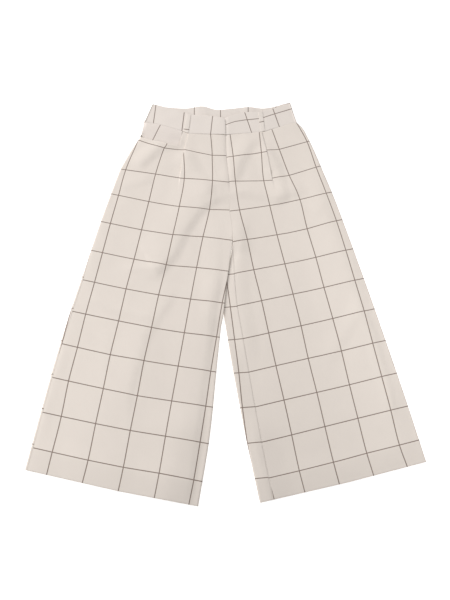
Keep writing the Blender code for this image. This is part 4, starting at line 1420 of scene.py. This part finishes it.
def make_stitches(name, paths, material):
    """Short threads along paths that lie on the cloth."""
    vertices, faces = [], []
    sides = THREAD_SIDES
    for path in paths:
        total = path_length(path)
        count = max(1, round(total / (THREAD_LENGTH + THREAD_GAP)))
        pitch = total / count
        for k in range(count):
            start, end = [point_at(path, min(at, total - 0.01))
                          for at in (k * pitch, k * pitch + THREAD_LENGTH)]
            if (end - start).length < THREAD_LEAST:
                continue
            run = (end - start).normalized()
            across = run.cross(Vector((0.0, 0.0, 1.0))).normalized()
            up = across.cross(run)
            first = len(vertices)
            for share, wide, lift in THREAD_RINGS:
                centre = start.lerp(end, share) + up * lift * THREAD_RADIUS * 2
                for s in range(sides):
                    angle = 2 * math.pi * s / sides
                    offset = across * math.cos(angle) + up * math.sin(angle)
                    vertices.append(place(centre + offset * THREAD_RADIUS * wide))
            for r in range(len(THREAD_RINGS) - 1):
                for s in range(sides):
                    a = first + r * sides + s
                    b = first + r * sides + (s + 1) % sides
                    faces.append([a, a + sides, b + sides, b])
            faces.append([first + s for s in range(sides)])
            last = first + (len(THREAD_RINGS) - 1) * sides
            faces.append([last + s for s in reversed(range(sides))])
    add_piece(name, vertices, faces, material)


def front_surface(side, drop, along):
    """A point on the outside of a front."""
    row = Row(side, drop)
    if along >= 0.0:
        x, y, z = dipped_point(row, along, pleat_columns(row)[0][1])
    else:
        x, y, z = row.top_point(along)
    return Vector((x, y, z + fly_rise(row, along) + row.wall / 2))


def make_front_stitches(material):
    """Topstitching below the pocket mouth and round the fly."""
    row = Row("right", POCKET_STITCH_DROP)
    under_strip, from_side = POCKET_STITCH_ENDS
    start, end = POCKET_STRIP - under_strip, row.reach_out - from_side
    pocket = [front_surface("right", POCKET_STITCH_DROP, lerp(start, end, share))
              for share in shares(POCKET_STITCH_STEPS)]
    fly = []
    for drop, from_edge in FLY_STITCH:
        row = Row("right", drop)
        fly.append(front_surface("right", drop, from_edge - row.reach_in))
    make_stitches("topstitching", [pocket, fly], material)


def add_light(name, location, target, size, energy, colour):
    data = bpy.data.lights.new(name, "AREA")
    data.shape = "RECTANGLE"
    data.size, data.size_y = size
    data.energy = energy
    data.color = colour
    light = bpy.data.objects.new(name, data)
    light.location = location
    light.visible_camera = False
    away = Vector(location) - Vector(target)
    light.rotation_euler = away.to_track_quat("Z", "Y").to_euler()
    bpy.context.scene.collection.objects.link(light)


def make_stage():
    """The white surface under the garment, the lights and the surroundings."""
    bpy.ops.mesh.primitive_plane_add(size=12.0, location=(0.0, 0.0, -0.0005))
    floor = bpy.context.object
    floor.name = "floor"
    material, tree, shader = new_material("floor")
    fill(tree, shader, {
        "Base Color": (0.97, 0.97, 0.97),
        "Roughness": 0.9,
        "Specular IOR Level": 0.1,
        "Emission Color": WHITE,
        "Emission Strength": 0.6,
    })
    floor.data.materials.append(material)
    for light in LIGHTS:
        add_light(*light)
    world = bpy.data.worlds.new("studio")
    bpy.context.scene.world = world
    world.use_nodes = True
    tree = world.node_tree
    fill(tree, tree.nodes["Background"], {"Color": (0.97, 0.975, 1.0), "Strength": 0.36})


def make_camera():
    tilt = math.radians(CAMERA_TILT)
    data = bpy.data.cameras.new("camera")
    data.lens = CAMERA_LENS
    data.sensor_width = 36.0
    camera = bpy.data.objects.new("camera", data)
    target = Vector(place(CAMERA_TARGET))
    away = Vector((0.0, -math.sin(tilt), math.cos(tilt)))
    camera.location = target + away * CAMERA_DISTANCE * MM
    camera.rotation_euler = (tilt, 0.0, 0.0)
    bpy.context.scene.collection.objects.link(camera)
    bpy.context.scene.camera = camera


def main():
    cloths = {name: make_cloth(name, colour) for name, colour in CLOTH_COLOURS.items()}
    thread = make_plain("thread", (0.70, 0.63, 0.55), 0.7)
    make_panels(cloths["cloth"])
    make_front_bands(cloths["band"])
    make_back_band(cloths["band"])
    make_facing(cloths["facing"])
    make_front_loops(cloths["loop"])
    make_back_loops(cloths["loop"])
    make_front_stitches(thread)
    make_zip_tape(make_plain("zip_tape", (0.62, 0.56, 0.48), 0.75, grain=2500.0))
    dress_node("waist_hook", make_plain("steel", (0.55, 0.55, 0.56), 0.35, 1.0))
    make_stage()
    make_camera()
    scene = bpy.context.scene
    scene.view_settings.view_transform = "Standard"


main()
